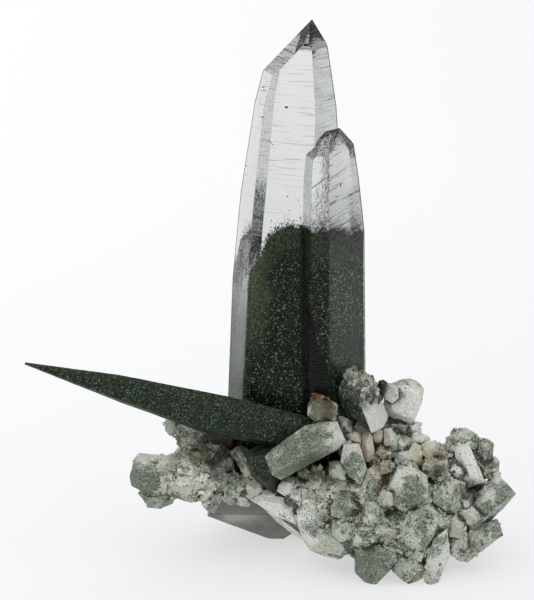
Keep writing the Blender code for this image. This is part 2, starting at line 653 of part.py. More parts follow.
def build_matrix(parts, guides, sockets):
    """Fuse the adularia crystals, then cut the sockets and the resting plane."""
    masses = list(core_masses())
    matrix = to_object("adularia_matrix", masses[0], parts)
    growth = [*masses[1:], *front_crystals(), *fill_crystals(), *back_crystals()]
    for number, mesh in enumerate(growth):
        guide(f"adularia_{number:03d}", mesh, guides)
    ground = rough_box(Vector((0, 0, -BLANK)), Vector((4 * BLANK, 4 * BLANK, 2 * BLANK)))
    guide("ground", ground, sockets)
    boolean(matrix, 'UNION', guides)
    boolean(matrix, 'DIFFERENCE', sockets)
    apply_all(matrix)
    keep_largest_body(matrix)
    matrix.data.materials.clear()
    matrix.data.materials.append(material("adularia", (0.42, 0.45, 0.40), 0.5))


def centre_on_origin(parts):
    """Hang everything on an empty that puts the middle of the underside at the origin."""
    bpy.context.view_layer.update()
    corners = [made.matrix_world @ Vector(corner)
               for made in parts.objects for corner in made.bound_box]
    middle_x = (min(c.x for c in corners) + max(c.x for c in corners)) / 2
    middle_y = (min(c.y for c in corners) + max(c.y for c in corners)) / 2
    stand = bpy.data.objects.new("specimen", None)
    stand.location = (-middle_x, -middle_y, 0.0)
    for made in parts.objects:
        made.parent = stand
    parts.objects.link(stand)


def main():
    for old in list(bpy.data.objects):
        bpy.data.objects.remove(old, do_unlink=True)
    parts = collection("quartz_specimen")
    fused = collection("fused_quartz")
    guides = collection("adularia_growth")
    sockets = collection("sockets")
    build_quartzes(parts, fused, build_sockets(sockets))
    build_matrix(parts, guides, sockets)
    centre_on_origin(parts)


main()
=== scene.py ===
import math
import random
from collections import namedtuple
from itertools import combinations, product

import bmesh
import bpy
import numpy as np
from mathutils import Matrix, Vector
from mathutils.bvhtree import BVHTree


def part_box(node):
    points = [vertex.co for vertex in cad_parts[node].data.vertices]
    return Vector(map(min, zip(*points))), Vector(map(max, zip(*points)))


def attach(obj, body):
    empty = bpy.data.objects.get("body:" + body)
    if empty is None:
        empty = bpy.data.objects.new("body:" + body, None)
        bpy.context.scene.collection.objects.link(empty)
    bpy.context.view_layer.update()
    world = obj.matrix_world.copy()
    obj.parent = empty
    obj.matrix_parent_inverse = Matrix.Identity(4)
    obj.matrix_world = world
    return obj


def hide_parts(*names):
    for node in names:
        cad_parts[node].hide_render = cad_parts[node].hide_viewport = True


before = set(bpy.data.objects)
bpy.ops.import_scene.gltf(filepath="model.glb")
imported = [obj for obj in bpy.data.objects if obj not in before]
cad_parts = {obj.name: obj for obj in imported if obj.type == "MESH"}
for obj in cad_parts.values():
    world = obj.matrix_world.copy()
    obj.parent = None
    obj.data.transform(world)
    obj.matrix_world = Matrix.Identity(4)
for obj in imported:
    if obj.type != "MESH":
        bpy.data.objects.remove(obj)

MM = 0.001
SEED = 29

# Sizes and places below are millimetres from where the tall quartz's axis plane meets the
# ground. The frame is centred on the specimen's box, so the blade's corner gives the shift.
BLADE_CORNER_X = -48.88
BLADE_CORNER_Y = -14.198
BLADE_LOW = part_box("quartz_blade")[0]
ORIGIN = Vector((BLADE_LOW.x / MM - BLADE_CORNER_X, BLADE_LOW.y / MM - BLADE_CORNER_Y, 0))

# The camera of the photograph: 17 degrees above level, with a long lens
CAMERA_TARGET = Vector((-5.94, 0.0, 46.4))
CAMERA_ELEVATION = 17.0
CAMERA_DISTANCE = 540.0
CAMERA_LENS = 180.0
CAMERA_SENSOR = 36.0
CAMERA_CLIP = (0.01, 20.0)
CAMERA_RISE = math.radians(CAMERA_ELEVATION)
TO_CAMERA = np.array((0, -math.cos(CAMERA_RISE), math.sin(CAMERA_RISE)))
PHOTO_UP = np.array((0, math.sin(CAMERA_RISE), math.cos(CAMERA_RISE)))
PHOTO_WIDTH = 534
PHOTO_HEIGHT = 600

# Axes of the two fused quartzes: x where each meets the ground, y, and the lean to the right
MAIN_AXIS = (-5.25, 0.0, 3.0)
SIDE_AXIS = (6.4, -3.6, 0.0)

# How far the tall quartz reaches from its axis, by height, to tell its faces from the other's
MAIN_REACH = ((0, 50, 66, 83, 98), (9.78, 9.78, 8.6, 7.6, 7.0))


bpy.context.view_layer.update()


# Numbers that vary smoothly in space

NOISE_TABLE = np.random.default_rng(SEED).permutation(256)
NOISE_SHIFT = 17.31


def noise(points, size, seed=0):
    """Smooth noise from -1 to 1 at each point, with features of the given size."""
    scaled = np.asarray(points, float) / size + seed * NOISE_SHIFT
    cell = np.floor(scaled).astype(int)
    part = scaled - cell
    part = part * part * (3 - 2 * part)
    total = np.zeros(len(scaled))
    for corner in product((0, 1), repeat=3):
        near = np.where(corner, part, 1 - part)
        x, y, z = ((cell + corner) & 255).T
        value = NOISE_TABLE[(NOISE_TABLE[(NOISE_TABLE[x] + y) & 255] + z) & 255] / 127.5 - 1
        total += near[:, 0] * near[:, 1] * near[:, 2] * value
    return total


def fractal(points, size, octaves, seed=0):
    """Noise with finer and fainter layers added."""
    layers = [noise(points, size / 2 ** k, seed + 7 * k) / 2 ** k for k in range(octaves)]
    return sum(layers) / sum(1 / 2 ** k for k in range(octaves))


def smooth(value, low, high):
    """0 below low, 1 above high, and a soft climb between."""
    share = np.clip((np.asarray(value, float) - low) / (high - low), 0, 1)
    return share * share * (3 - 2 * share)


def fading(value, low, high):
    """1 below low, 0 above high, and a soft fall between."""
    return 1 - smooth(value, low, high)


def seen(points):
    """Where each point shows in the photograph, in its pixels."""
    from_target = points - np.array(CAMERA_TARGET)
    away = CAMERA_DISTANCE - from_target @ TO_CAMERA
    scale = CAMERA_LENS / CAMERA_SENSOR * PHOTO_HEIGHT / away
    return np.column_stack([PHOTO_WIDTH / 2 + from_target[:, 0] * scale,
                            PHOTO_HEIGHT / 2 - from_target @ PHOTO_UP * scale])


def away_from(points, x, y, wide=1.0, high=1.0):
    """How far each point shows from a place in the photo, in pixels or in a reach each way."""
    place = seen(points)
    return np.hypot((place[:, 0] - x) / wide, (place[:, 1] - y) / high)


# Meshes

# Points that are closer than this are one, faces that turn by fewer degrees than this are one,
# and edges are split over no more rounds than this
MERGE_WITHIN = 0.002
FLAT_WITHIN = 0.6
SPLIT_ROUNDS = 9


def node_mesh(name):
    """A CAD node's mesh in millimetres from the specimen's own zero, its flat faces whole."""
    mesh = bmesh.new()
    mesh.from_mesh(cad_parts[name].data)
    for vert in mesh.verts:
        vert.co = vert.co / MM - ORIGIN
    bmesh.ops.remove_doubles(mesh, verts=mesh.verts, dist=MERGE_WITHIN)
    bmesh.ops.dissolve_limit(mesh, angle_limit=math.radians(FLAT_WITHIN),
                             verts=mesh.verts[:], edges=mesh.edges[:])
    return mesh


def refine(mesh, longest):
    """Split edges until none is longer than a length, or than a function gives at its middle."""
    bmesh.ops.triangulate(mesh, faces=mesh.faces[:])
    for _ in range(SPLIT_ROUNDS):
        edges = mesh.edges[:]
        ends = np.array([[vert.co[:] for vert in edge.verts] for edge in edges])
        lengths = np.linalg.norm(ends[:, 0] - ends[:, 1], axis=1)
        allowed = longest(ends.mean(1)) if callable(longest) else longest
        wide = [edges[index] for index in np.flatnonzero(lengths > allowed)]
        if not wide:
            break
        bmesh.ops.subdivide_edges(mesh, edges=wide, cuts=1)
        bmesh.ops.triangulate(mesh, faces=[face for face in mesh.faces if len(face.verts) > 3])


def cut(mesh, point, normal, close=False):
    """Slice a mesh by a plane; with close, drop what lies beyond it and close the cut."""
    parts = mesh.verts[:] + mesh.edges[:] + mesh.faces[:]
    made = bmesh.ops.bisect_plane(mesh, geom=parts, dist=1e-4, plane_co=point,
                                  plane_no=normal, clear_outer=close)
    if close:
        rim = [item for item in made["geom_cut"] if isinstance(item, bmesh.types.BMEdge)]
        bmesh.ops.edgeloop_fill(mesh, edges=[edge for edge in rim if edge.is_boundary])


def bevel(mesh, edges, width):
    """Bevel some edges, and give the new faces."""
    made = bmesh.ops.bevel(mesh, geom=edges, offset=width, offset_type='OFFSET', segments=1,
                           profile=0.5, affect='EDGES', clamp_overlap=True)
    return made["faces"]


def bevelled(mesh, width, sharp, bright):
    """Bevel the edges that stand out, and mark the new faces at the sharper ones as rims, which
    some materials paint with a highlight.
    """
    rim = mesh.faces.layers.int.new("rim")
    edges = [edge for edge in mesh.edges
             if edge.calc_face_angle_signed(0.0) > math.radians(sharp)
             and edge.calc_length() > 2 * width]
    strips = set(bevel(mesh, edges, width))
    for face in strips:
        beside = [other.normal for edge in face.edges for other in edge.link_faces
                  if other not in strips]
        turns = [one.angle(two, 0.0) for one, two in combinations(beside, 2)]
        face[rim] = int(max(turns, default=0.0) > math.radians(bright))
    return rim


def new_object(name, mesh_data, material, smooth_angle=None):
    """A piece of the object, which rides on its one body."""
    if smooth_angle is not None:
        mesh_data.shade_smooth()
        mesh_data.set_sharp_from_angle(angle=math.radians(smooth_angle))
    mesh_data.materials.append(material)
    piece = bpy.data.objects.new(name, mesh_data)
    bpy.context.scene.collection.objects.link(piece)
    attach(piece, "root")
    return piece


def from_bmesh(mesh, name):
    """Mesh data in metres in the frame, from millimetres."""
    for vert in mesh.verts:
        vert.co = (vert.co + ORIGIN) * MM
    bmesh.ops.triangulate(mesh, faces=[face for face in mesh.faces if len(face.verts) > 4])
    data = bpy.data.meshes.new(name)
    mesh.to_mesh(data)
    mesh.free()
    return data


def from_arrays(points, faces, name):
    """Mesh data in metres in the frame, from arrays in millimetres."""
    data = bpy.data.meshes.new(name)
    data.from_pydata(((points + np.array(ORIGIN)) * MM).tolist(), [], faces.tolist())
    data.update()
    return data


def repeated(shapes, sides, name):
    """Mesh data of many small shapes, each given by its corners, that all have the same sides."""
    first = np.arange(len(shapes))[:, None, None] * len(shapes[0])
    return from_arrays(np.concatenate(shapes), (first + sides).reshape(-1, 3), name)


class Surface:
    """A triangle mesh as arrays, with the edges and normals that relief is worked out from.

    Blender leaves a subdivided mesh in another order on each run, so all of it is sorted by place.
    """

    def __init__(self, mesh, mark=None):
        bmesh.ops.triangulate(mesh, faces=mesh.faces[:])
        mesh.verts.index_update()
        points = np.array([vert.co[:] for vert in mesh.verts])
        edges = np.array([[vert.index for vert in edge.verts] for edge in mesh.edges])
        faces = np.array([[vert.index for vert in face.verts] for face in mesh.faces])
        turns = np.degrees([edge.calc_face_angle_signed(0.0) for edge in mesh.edges])
        marks = np.array([face[mark] if mark else 0 for face in mesh.faces], float)
        mesh.free()
        # Where two points coincide, their furthest neighbours tell them apart
        furthest = np.full(len(points), -np.inf)
        for near, far in ((0, 1), (1, 0)):
            np.maximum.at(furthest, edges[:, near], points[edges[:, far]].sum(1))
        order = np.lexsort((furthest, *points.T))
        rank = np.empty(len(points), int)
        rank[order] = np.arange(len(points))
        self.points = points[order]
        edges = np.sort(rank[edges], axis=1)
        order = np.lexsort(edges.T)
        self.edges = edges[order]
        self.turns = turns[order]
        faces = rank[faces]
        start = faces.argmin(1)[:, None]
        faces = np.take_along_axis(faces, (start + np.arange(3)) % 3, 1)
        order = np.lexsort(faces.T)
        self.faces = faces[order]
        self.marks = marks[order]

    def normals(self):
        a, b, c = (self.points[self.faces[:, k]] for k in range(3))
        face_normals = np.cross(b - a, c - a)
        total = np.zeros_like(self.points)
        for k in range(3):
            np.add.at(total, self.faces[:, k], face_normals)
        return total / np.maximum(np.linalg.norm(total, axis=1), 1e-12)[:, None]

    def move(self, out):
        """Move each point out along its normal, but not below the ground."""
        self.points = self.points + self.normals() * out[:, None]
        self.points[:, 2] = np.maximum(self.points[:, 2], 0.0)

    def spread(self, values, rounds):
        """Average a value with its neighbours', some rounds over."""
        values = np.array(values, float)
        count = np.bincount(self.edges.ravel(), minlength=len(self.points))
        wide = values.ndim == 2
        for _ in range(rounds):
            total = values.copy()
            for a, b in ((0, 1), (1, 0)):
                np.add.at(total, self.edges[:, a], values[self.edges[:, b]])
            values = total / ((count + 1)[:, None] if wide else count + 1)
        return values

    def rims(self, angle):
        """1 on the corners that stand out along an edge sharper than an angle, 0 elsewhere."""
        sharp = np.zeros(len(self.points))
        sharp[self.edges[self.turns > angle].ravel()] = 1.0
        return sharp

    def hollows(self, rounds=10):
        """How far each point lies below the smoothed surface, in millimetres."""
        soft = self.spread(self.points, rounds)
        return ((soft - self.points) * self.normals()).sum(1)

    def data(self, name, attributes=None):
        """Mesh data with a number or a colour for each point, or for each face."""
        made = from_arrays(self.points, self.faces, name)
        for label, values in (attributes or {}).items():
            add_attribute(made, label, np.asarray(values, np.float32))
        return made


def add_attribute(mesh_data, label, values):
    """Give mesh data one number or colour for each of its points, or else of its faces."""
    domain = 'POINT' if len(values) == len(mesh_data.vertices) else 'FACE'
    if values.ndim == 1:
        layer = mesh_data.attributes.new(label, 'FLOAT', domain)
        layer.data.foreach_set("value", values)
    else:
        layer = mesh_data.attributes.new(label, 'FLOAT_COLOR', domain)
        filled = np.concatenate([values, np.ones((len(values), 1), np.float32)], 1)
        layer.data.foreach_set("color", filled.ravel())


# Materials

class Nodes:
    """A node tree, with short calls for the nodes that are added to it."""

    def __init__(self, tree):
        self.tree = tree

    def attribute(self, name, output="Fac"):
        made = self.tree.nodes.new("ShaderNodeAttribute")
        made.attribute_name = name
        return made.outputs[output]

    def put(self, socket, value):
        """Link a socket, to a number on the mesh if a name is given, or set its own value."""
        if isinstance(value, str):
            value = self.attribute(value)
        if isinstance(value, bpy.types.NodeSocket):
            self.tree.links.new(value, socket)
        elif socket.type == 'RGBA':
            socket.default_value = (*value, 1.0)
        else:
            socket.default_value = value

    def node(self, kind, **inputs):
        """A new node with its inputs, their names with _ for a space."""
        made = self.tree.nodes.new(kind)
        for name, value in inputs.items():
            self.put(made.inputs[name.replace("_", " ")], value)
        return made

    def between(self, value, low, high, start=0.0, end=1.0):
        """A value's place between low and high, as a soft climb from start to end."""
        made = self.node("ShaderNodeMapRange", Value=value, From_Min=low, From_Max=high,
                         To_Min=start, To_Max=end)
        made.interpolation_type = 'SMOOTHSTEP'
        return made.outputs["Result"]


class Shader(Nodes):
    """The nodes of a new material."""

    def __init__(self, name):
        self.material = bpy.data.materials.new(name)
        self.material.use_nodes = True
        super().__init__(self.material.node_tree)
        self.main = self.tree.nodes["Principled BSDF"]
        self.where = self.node("ShaderNodeTexCoord").outputs["Object"]

    def set(self, **values):
        """Values of the shader's own sockets, their names with _ for a space."""
        for name, value in values.items():
            self.put(self.main.inputs[name.replace("_", " ")], value)

    def noise(self, size, detail=3.0, roughness=0.6, distortion=0.0):
        made = self.node("ShaderNodeTexNoise", Vector=self.where, Scale=1 / (size * MM),
                         Detail=detail, Roughness=roughness, Distortion=distortion)
        return made.outputs["Fac"]

    def cells(self, size):
        """Cells of a given size, and the random numbers that each of them has."""
        made = self.node("ShaderNodeTexVoronoi", Vector=self.where, Scale=1 / (size * MM))
        return made, self.node("ShaderNodeSeparateColor", Color=made.outputs["Color"])

    def stripes(self, length, width):
        """Broken lines of a given length and width along the faces' own map."""
        place = self.node("ShaderNodeMapping", Vector=self.attribute("grain", "Vector"),
                          Scale=(1 / length, 1 / width, 1.0))
        made = self.node("ShaderNodeTexNoise", Vector=place.outputs["Vector"], Scale=1.0,
                         Detail=3.0, Roughness=0.6)
        return made.outputs["Fac"]

    def patches(self, size, low, high, start=0.0, end=1.0, **look):
        """Noise spread out between two of its levels."""
        return self.between(self.noise(size, **look), low, high, start, end)

    def math(self, operation, a, b, clamp=False):
        made = self.tree.nodes.new("ShaderNodeMath")
        made.operation = operation
        made.use_clamp = clamp
        self.put(made.inputs[0], a)
        self.put(made.inputs[1], b)
        return made.outputs[0]

    def times(self, a, b, clamp=False):
        return self.math('MULTIPLY', a, b, clamp)

    def less(self, a, b):
        return self.math('SUBTRACT', a, b)

    def mix(self, share, first, second, blend='MIX'):
        made = self.tree.nodes.new("ShaderNodeMix")
        made.data_type = 'RGBA'
        made.blend_type = blend
        self.put(made.inputs[0], share)
        self.put(made.inputs[6], first)
        self.put(made.inputs[7], second)
        return made.outputs[2]

    def bump(self, *layers):
        """Bumps on top of each other: a height, a depth in millimetres and a strength each."""
        below = {}
        for height, depth, strength in layers:
            made = self.node("ShaderNodeBump", Height=height, Distance=depth * MM,
                             Strength=strength, **below)
            below = {"Normal": made.outputs["Normal"]}
        self.set(**below)

    def absorb(self, colour, density):
        """Darken light on its way through the inside."""
        made = self.node("ShaderNodeVolumeAbsorption", Color=colour, Density=density)
        self.put(self.tree.nodes["Material Output"].inputs["Volume"], made.outputs["Volume"])


def clear_quartz_material():
    """Clear glass, with growth lines that follow each face's own map."""
    shade = Shader("clear_quartz")
    shade.set(Roughness=0.0, IOR=1.544, Transmission_Weight=1.0, Specular_Tint=(0.2, 0.2, 0.2))
    shade.absorb((0.88, 0.884, 0.88), 140.0)
    lines = shade.attribute("lines")
    fine, broad = (shade.stripes(*form) for form in GROWTH_LINES)
    strong = shade.times(shade.between(broad, 0.60, 0.68), lines)
    thin = shade.times(shade.between(fine, 0.56, 0.70), lines)
    dark = shade.math('MAXIMUM', strong, shade.times(thin, 0.75))
    colour = shade.mix(dark, (1.0, 1.0, 1.0), (0.10, 0.105, 0.10))
    # painted shade: dark lines along some upright edges
    outline = shade.between("border", *OUTLINE_WIDTH, OUTLINE_SHADE, 0.0)
    # greying of the faces, with the painted shade low on the front tip facets
    clear = shade.less(1.0, shade.math('MAXIMUM', outline, "greying"))
    grit = shade.patches(0.26, 0.40, 0.56, 0.85, 0.0, roughness=0.75)
    clear = shade.times(clear, shade.less(1.0, shade.times(grit, "grit")))
    greener = shade.between(clear, 0.2, 1.0, 1.09, 1.0)
    dim = shade.node("ShaderNodeCombineColor", Red=clear, Blue=clear,
                     Green=shade.times(clear, greener))
    for _ in range(2):
        colour = shade.mix(1.0, colour, dim.outputs["Color"], 'MULTIPLY')
    shade.set(Base_Color=colour)
    lumps = shade.noise(0.9, distortion=1.2)
    shade.bump((shade.math('ADD', fine, broad), 0.07, shade.times(lines, 1.0, clamp=True)),
               (lumps, 0.6, "mottle"))
    return shade.material


def chlorite_colours(shade, dark, light, flecks, share=0.5, coarse=1.0, fine=1.0):
    """Fine dark flakes with lighter ones between, and scattered pale flecks of two sizes, partly
    grains and partly painted glints.
    """
    colour = shade.mix(shade.patches(0.5, 0.40, 0.64, detail=4, roughness=0.75), dark, light)
    colour = shade.mix(shade.patches(1.6, 0.4, 0.7, 0.0, 0.5), colour, dark)
    for size, strength in ((0.26, 1.0), (0.40, 0.85)):
        spots, pick = shade.cells(size * fine)
        reach = shade.between(pick.outputs["Red"], 1.0 - share, 1.0, 0.0, 0.5)
        fleck = shade.math('LESS_THAN', spots.outputs["Distance"], shade.times(reach, coarse))
        bright = shade.between(pick.outputs["Green"], 0.25, 1.0, 0.10, strength)
        # pale flecks: grains, and painted glints
        colour = shade.mix(shade.times(fleck, bright), colour, flecks)
    return colour


def cloud_material():
    """Chlorite seen through quartz: green and mossy at its top, dark with pale flecks below,
    partly grains and partly painted glints.
    """
    shade = Shader("chlorite_inside")
    body = chlorite_colours(shade, (0.001, 0.004, 0.001), (0.013, 0.030, 0.011),
                            (0.45, 0.56, 0.42), 0.5, "coarse", 0.75)
    mossy = shade.patches(0.45, 0.36, 0.66, detail=4, roughness=0.7)
    moss = shade.mix(mossy, (0.010, 0.018, 0.007), (0.11, 0.15, 0.078))
    ferny = shade.patches(0.38, 0.36, 0.66, detail=4, roughness=0.7)
    pale = shade.mix(ferny, (0.014, 0.028, 0.010), (0.15, 0.22, 0.11))
    colour = shade.mix("moss", body, moss)
    colour = shade.mix("pale", colour, pale)
    # painted shade where the two crystals meet, and in the corner beside it
    colour = shade.mix("gap", colour, (0.0015, 0.003, 0.0015))
    colour = shade.mix("greener", colour, (0.006, 0.034, 0.004), 'LIGHTEN')
    # painted light on its left face, and on its top beside that
    colour = shade.mix("painted_light", colour, (0.85, 0.87, 0.84))
    shade.set(Base_Color=colour, Roughness=0.7, IOR=1.5, Specular_IOR_Level=0.2)
    shade.bump((shade.noise(0.3, roughness=0.7), 0.08, 0.8))
    return shade.material


def adularia_material():
    """Pale feldspar under green dust and dark specks, with a painted highlight on its edges, and
    hollows darkened with painted shade and dirt.
    """
    shade = Shader("adularia")
    rough = shade.attribute("rough")

    def by_roughness(clean, overgrown):
        return shade.between(rough, 0.0, 1.0, clean, overgrown)

    patch = shade.patches(2.8, 0.36, 0.64, -0.70, 0.55, detail=5, roughness=0.72, distortion=0.7)
    amount = shade.math('ADD', "green", shade.times(patch, by_roughness(0.45, 1.0)))
    grain = shade.patches(0.32, 0.37, 0.63, -1.0, 1.0, roughness=0.75)
    grain = shade.times(grain, shade.between(amount, -0.1, 0.9, 0.13, 0.60))
    crystal = shade.cells(2.6)[1]
    tone = shade.times(shade.between(crystal.outputs["Red"], 0.0, 1.0, -0.2, 0.2), rough)
    level = shade.math('ADD', 1.0, shade.math('ADD', tone, grain))
    grey = shade.node("ShaderNodeCombineColor", Red=level, Green=level, Blue=level)
    colour = shade.mix(1.0, shade.attribute("tint", "Color"), grey.outputs["Color"], 'MULTIPLY')
    cloudy = shade.patches(2.0, 0.50, 0.66, 0.0, 0.5, detail=4, roughness=0.65)
    colour = shade.mix(cloudy, colour, (0.66, 0.69, 0.62))
    colour = shade.mix(shade.between(amount, 0.15, 1.25, 0.0, 0.78), colour, (0.082, 0.112, 0.068))
    fine = shade.noise(0.34, detail=2)
    start = shade.between(amount, 0.0, 1.0, 0.70, 0.51)
    speckle = shade.times(shade.less(fine, start), 30.0, clamp=True)
    speckle = shade.times(speckle, by_roughness(0.65, 0.92))
    colour = shade.mix(speckle, colour, (0.026, 0.036, 0.021))
    # hollows darkened: painted shade, and dirt
    cavity = shade.between("hollow", 0.02, 0.20)
    cavity = shade.times(cavity, shade.between(fine, 0.35, 0.6, 0.68, 1.0))
    colour = shade.mix(cavity, colour, (0.030, 0.027, 0.014))
    # painted highlight along the edges, stronger on clean crystals
    rim = shade.times("rim", shade.patches(1.3, 0.36, 0.52, 0.25, 1.0))
    colour = shade.mix(shade.times(rim, by_roughness(0.8, 0.3)), colour, (0.86, 0.88, 0.83))
    for size, rare in ((0.6, 0.72), (1.3, 0.84)):
        spots, pick = shade.cells(size)
        reach = shade.between(pick.outputs["Red"], rare, 1.0, 0.0, 0.26)
        speck = shade.math('LESS_THAN', spots.outputs["Distance"], reach)
        colour = shade.mix(shade.times(speck, 0.95), colour, (0.018, 0.022, 0.016))
    shade.set(Base_Color=colour, IOR=1.525, Roughness=shade.patches(0.7, 0.3, 0.7, 0.32, 0.6),
              Subsurface_Weight=0.15, Subsurface_Scale=0.4 * MM, Subsurface_Radius=(1.0, 1.0, 0.9))
    blocks = shade.cells(1.0)[0]
    blocks.distance = 'CHEBYCHEV'
    shade.bump((blocks.outputs["Distance"], 0.6, shade.times(rough, 0.9)),
               (shade.noise(1.1), 0.15, 0.6),
               (shade.noise(0.28, detail=4, roughness=0.75), 0.17, 1.0))
    return shade.material


# The clear quartz

# The tall crystal is number 0 and the shorter one number 1
AXES = (MAIN_AXIS, SIDE_AXIS)

# Width of the bevels, and the turn in degrees from which an edge has one
PAIR_BEVEL = 0.1
PAIR_SHARP = 12.0

# Growth steps: heights they run between, how far apart, how wide and how deep they are, and
# the upright cuts that let them come and go around the crystal
STRIATION_FROM = 22.0
STRIATION_TO = (97.2, 78.6)
STRIATION_SPACING = ((0.35, 1.5), (0.35, 1.2))
STRIATION_WIDTH = (0.04, 0.16)
STRIATION_DEPTH = (0.008, 0.05)
COLUMN_SPACING = 1.3
COLUMN_NUMBERS = range(-12, 12)
COLUMN_WAYS = (Vector((1, 0, 0.05)).normalized(), Vector((0, 1, 0.03)).normalized())

# How many degrees around a step keeps its depth, the noise that it comes and goes with, how
# much is left of it where it goes, and the height above a step that still belongs to it
STEP_TURN = 25
STEP_NOISE = (-0.25, 0.25)
STEP_FAINT = 0.25
STEP_ABOVE = 0.12

# The narrow face at the tall crystal's front left has deeper steps
DEEP_BETWEEN = (-50, -25)
DEEPER = 2.6

# Length and width of the fine growth lines and of the broad ones
GROWTH_LINES = ((7.0, 0.32), (17.5, 0.85))

# What sets the noise of neighbouring steps and faces apart
APART = 3.7

# How a face looks: greyness, greyness added low down, strength and slope of the growth lines,
# how lumpy it is, grit, and grit added low down
Look = namedtuple("Look", "grey grey_low lines slope lumps grit grit_low", defaults=(0.0,) * 7)

# Looks of each crystal's upright faces, by the way that they face
FACE_LOOKS = (
    {-66: Look(0.07, lines=0.04), -38: Look(0.18, 0.44, 1.0, 0, 0.05, 0.35, 1.15),
     -6: Look(0.045, lines=0.95, grit=0.05), 54: Look(0.26, lines=1.1, lumps=0.05, grit=0.28),
     114: Look(lines=0.1), 174: Look(lines=0.05), -120: Look(lines=0.05)},
    {-66: Look(0.34, lines=0.2, lumps=0.03, grit=0.1),
     -6: Look(0.0, 0.04, 0.4, 0, 0.25, 0.04, 0.1), 54: Look(0.16, 0.1, 1.5, 8, 0.06, 0.15, 0.2),
     114: Look(lines=0.2), 174: Look(lines=0.1)},
)
TIP_LOOKS = (Look(0.12, lines=0.9, slope=10, lumps=0.04, grit=0.3),
             Look(lines=0.4, slope=20, lumps=1.0, grit=0.15))
FRONT_TIP_LOOK = Look(lines=1.1, lumps=0.05, grit=0.2)
EDGE_LOOK = Look(0.45)

# Upright edges with a dark line of painted shade along them, each by the ways that its two faces
# face
OUTLINES = ((-66, -120), (54, 114))
OUTLINE_WAY_WITHIN = 12
OUTLINE_WIDTH = (0.18, 0.42)
OUTLINE_SHADE = 0.85

# A face is part of a tip where its normal rises more than this. The front tip facets face
# between these ways, and the sideways part of the broad front face's normal is between these.
TIP_RISE = 0.4
FRONT_TIP_BETWEEN = (-30, 80)
BROAD_FRONT_BETWEEN = (-0.3, 0.1)

# The growth lines of the broad front face are faint below the first height, full at the second
LINES_FADE = (69.0, 78.0)
LINES_FAINT = 0.3

# Heights between which the looks added low down fade out, the front tip facets are darkened
# downward with painted shade, and the faces turn from clear, over the cloud, to their own look
LOW_FADE = (66.0, 72.0)
TIP_SHADE_FADE = (95.6, 97.6)
TIP_SHADE = 0.5
CLOUD_SEEN = (55.0, 60.0)


def axis_direction(axis):
    """The way that one of the crystals' axes points."""
    lean = math.radians(axis[2])
    return np.array((math.sin(lean), 0.0, math.cos(lean)))


def way_faced(face):
    """The way that a face faces, in degrees around from the viewer's side to the right."""
    return math.degrees(math.atan2(face.normal.x, -face.normal.y))


def mark_crystals(mesh):
    """Give each face 0 if it is the tall quartz's, or 1 if it is the shorter one's."""
    layer = mesh.faces.layers.int.new("crystal")
    lean = math.tan(math.radians(MAIN_AXIS[2]))
    for face in mesh.faces:
        middle = face.calc_center_median()
        away = math.hypot(middle.x - MAIN_AXIS[0] - middle.z * lean, middle.y - MAIN_AXIS[1])
        face[layer] = int(away > np.interp(middle.z, *MAIN_REACH))
    return layer


def striation_rings(crystal, rng):
    """Height, width and depth of each fine growth step."""
    rings = []
    height = STRIATION_FROM
    while height < STRIATION_TO[crystal]:
        height += rng.uniform(*STRIATION_SPACING[crystal]) * rng.uniform(0.4, 1.0)
        strength = rng.random() ** 2
        width, depth = (low + strength * (high - low)
                        for low, high in (STRIATION_WIDTH, STRIATION_DEPTH))
        rings.append((height, width, depth))
    return rings


def step_relief(points, rings, axis):
    """How far each point moves out, for steps that come and go around the crystal."""
    heights = points @ axis_direction(axis)
    around = np.degrees(np.arctan2(points[:, 0] - axis[0], -points[:, 1] + axis[1]))
    knots = []
    for height, width, depth in rings:
        knots += [(height - width / 2, depth / 2), (height + width / 2, -depth / 2)]
    out = np.interp(heights, *np.array(knots).T)
    nearest = np.searchsorted([ring[0] for ring in rings], heights - STEP_ABOVE)
    place = np.stack([around / STEP_TURN, np.full(len(points), 0.5), nearest * APART], 1)
    return out * (STEP_FAINT + (1 - STEP_FAINT) * smooth(noise(place, 1.0, 3), *STEP_NOISE))


def is_front_tip(face, crystal):
    """Whether a face is one of the two tip facets of the tall quartz that face the viewer."""
    low, high = FRONT_TIP_BETWEEN
    return crystal == 0 and face.normal.z > TIP_RISE and low < way_faced(face) < high


def face_look(face, crystal, on_edge):
    """How a face of the clear pair looks."""
    if on_edge:
        return EDGE_LOOK
    if is_front_tip(face, crystal):
        return FRONT_TIP_LOOK
    if face.normal.z > TIP_RISE:
        return TIP_LOOKS[crystal]
    way = way_faced(face)
    nearest = min(FACE_LOOKS[crystal], key=lambda other: abs((way - other + 180) % 360 - 180))
    return FACE_LOOKS[crystal][nearest]


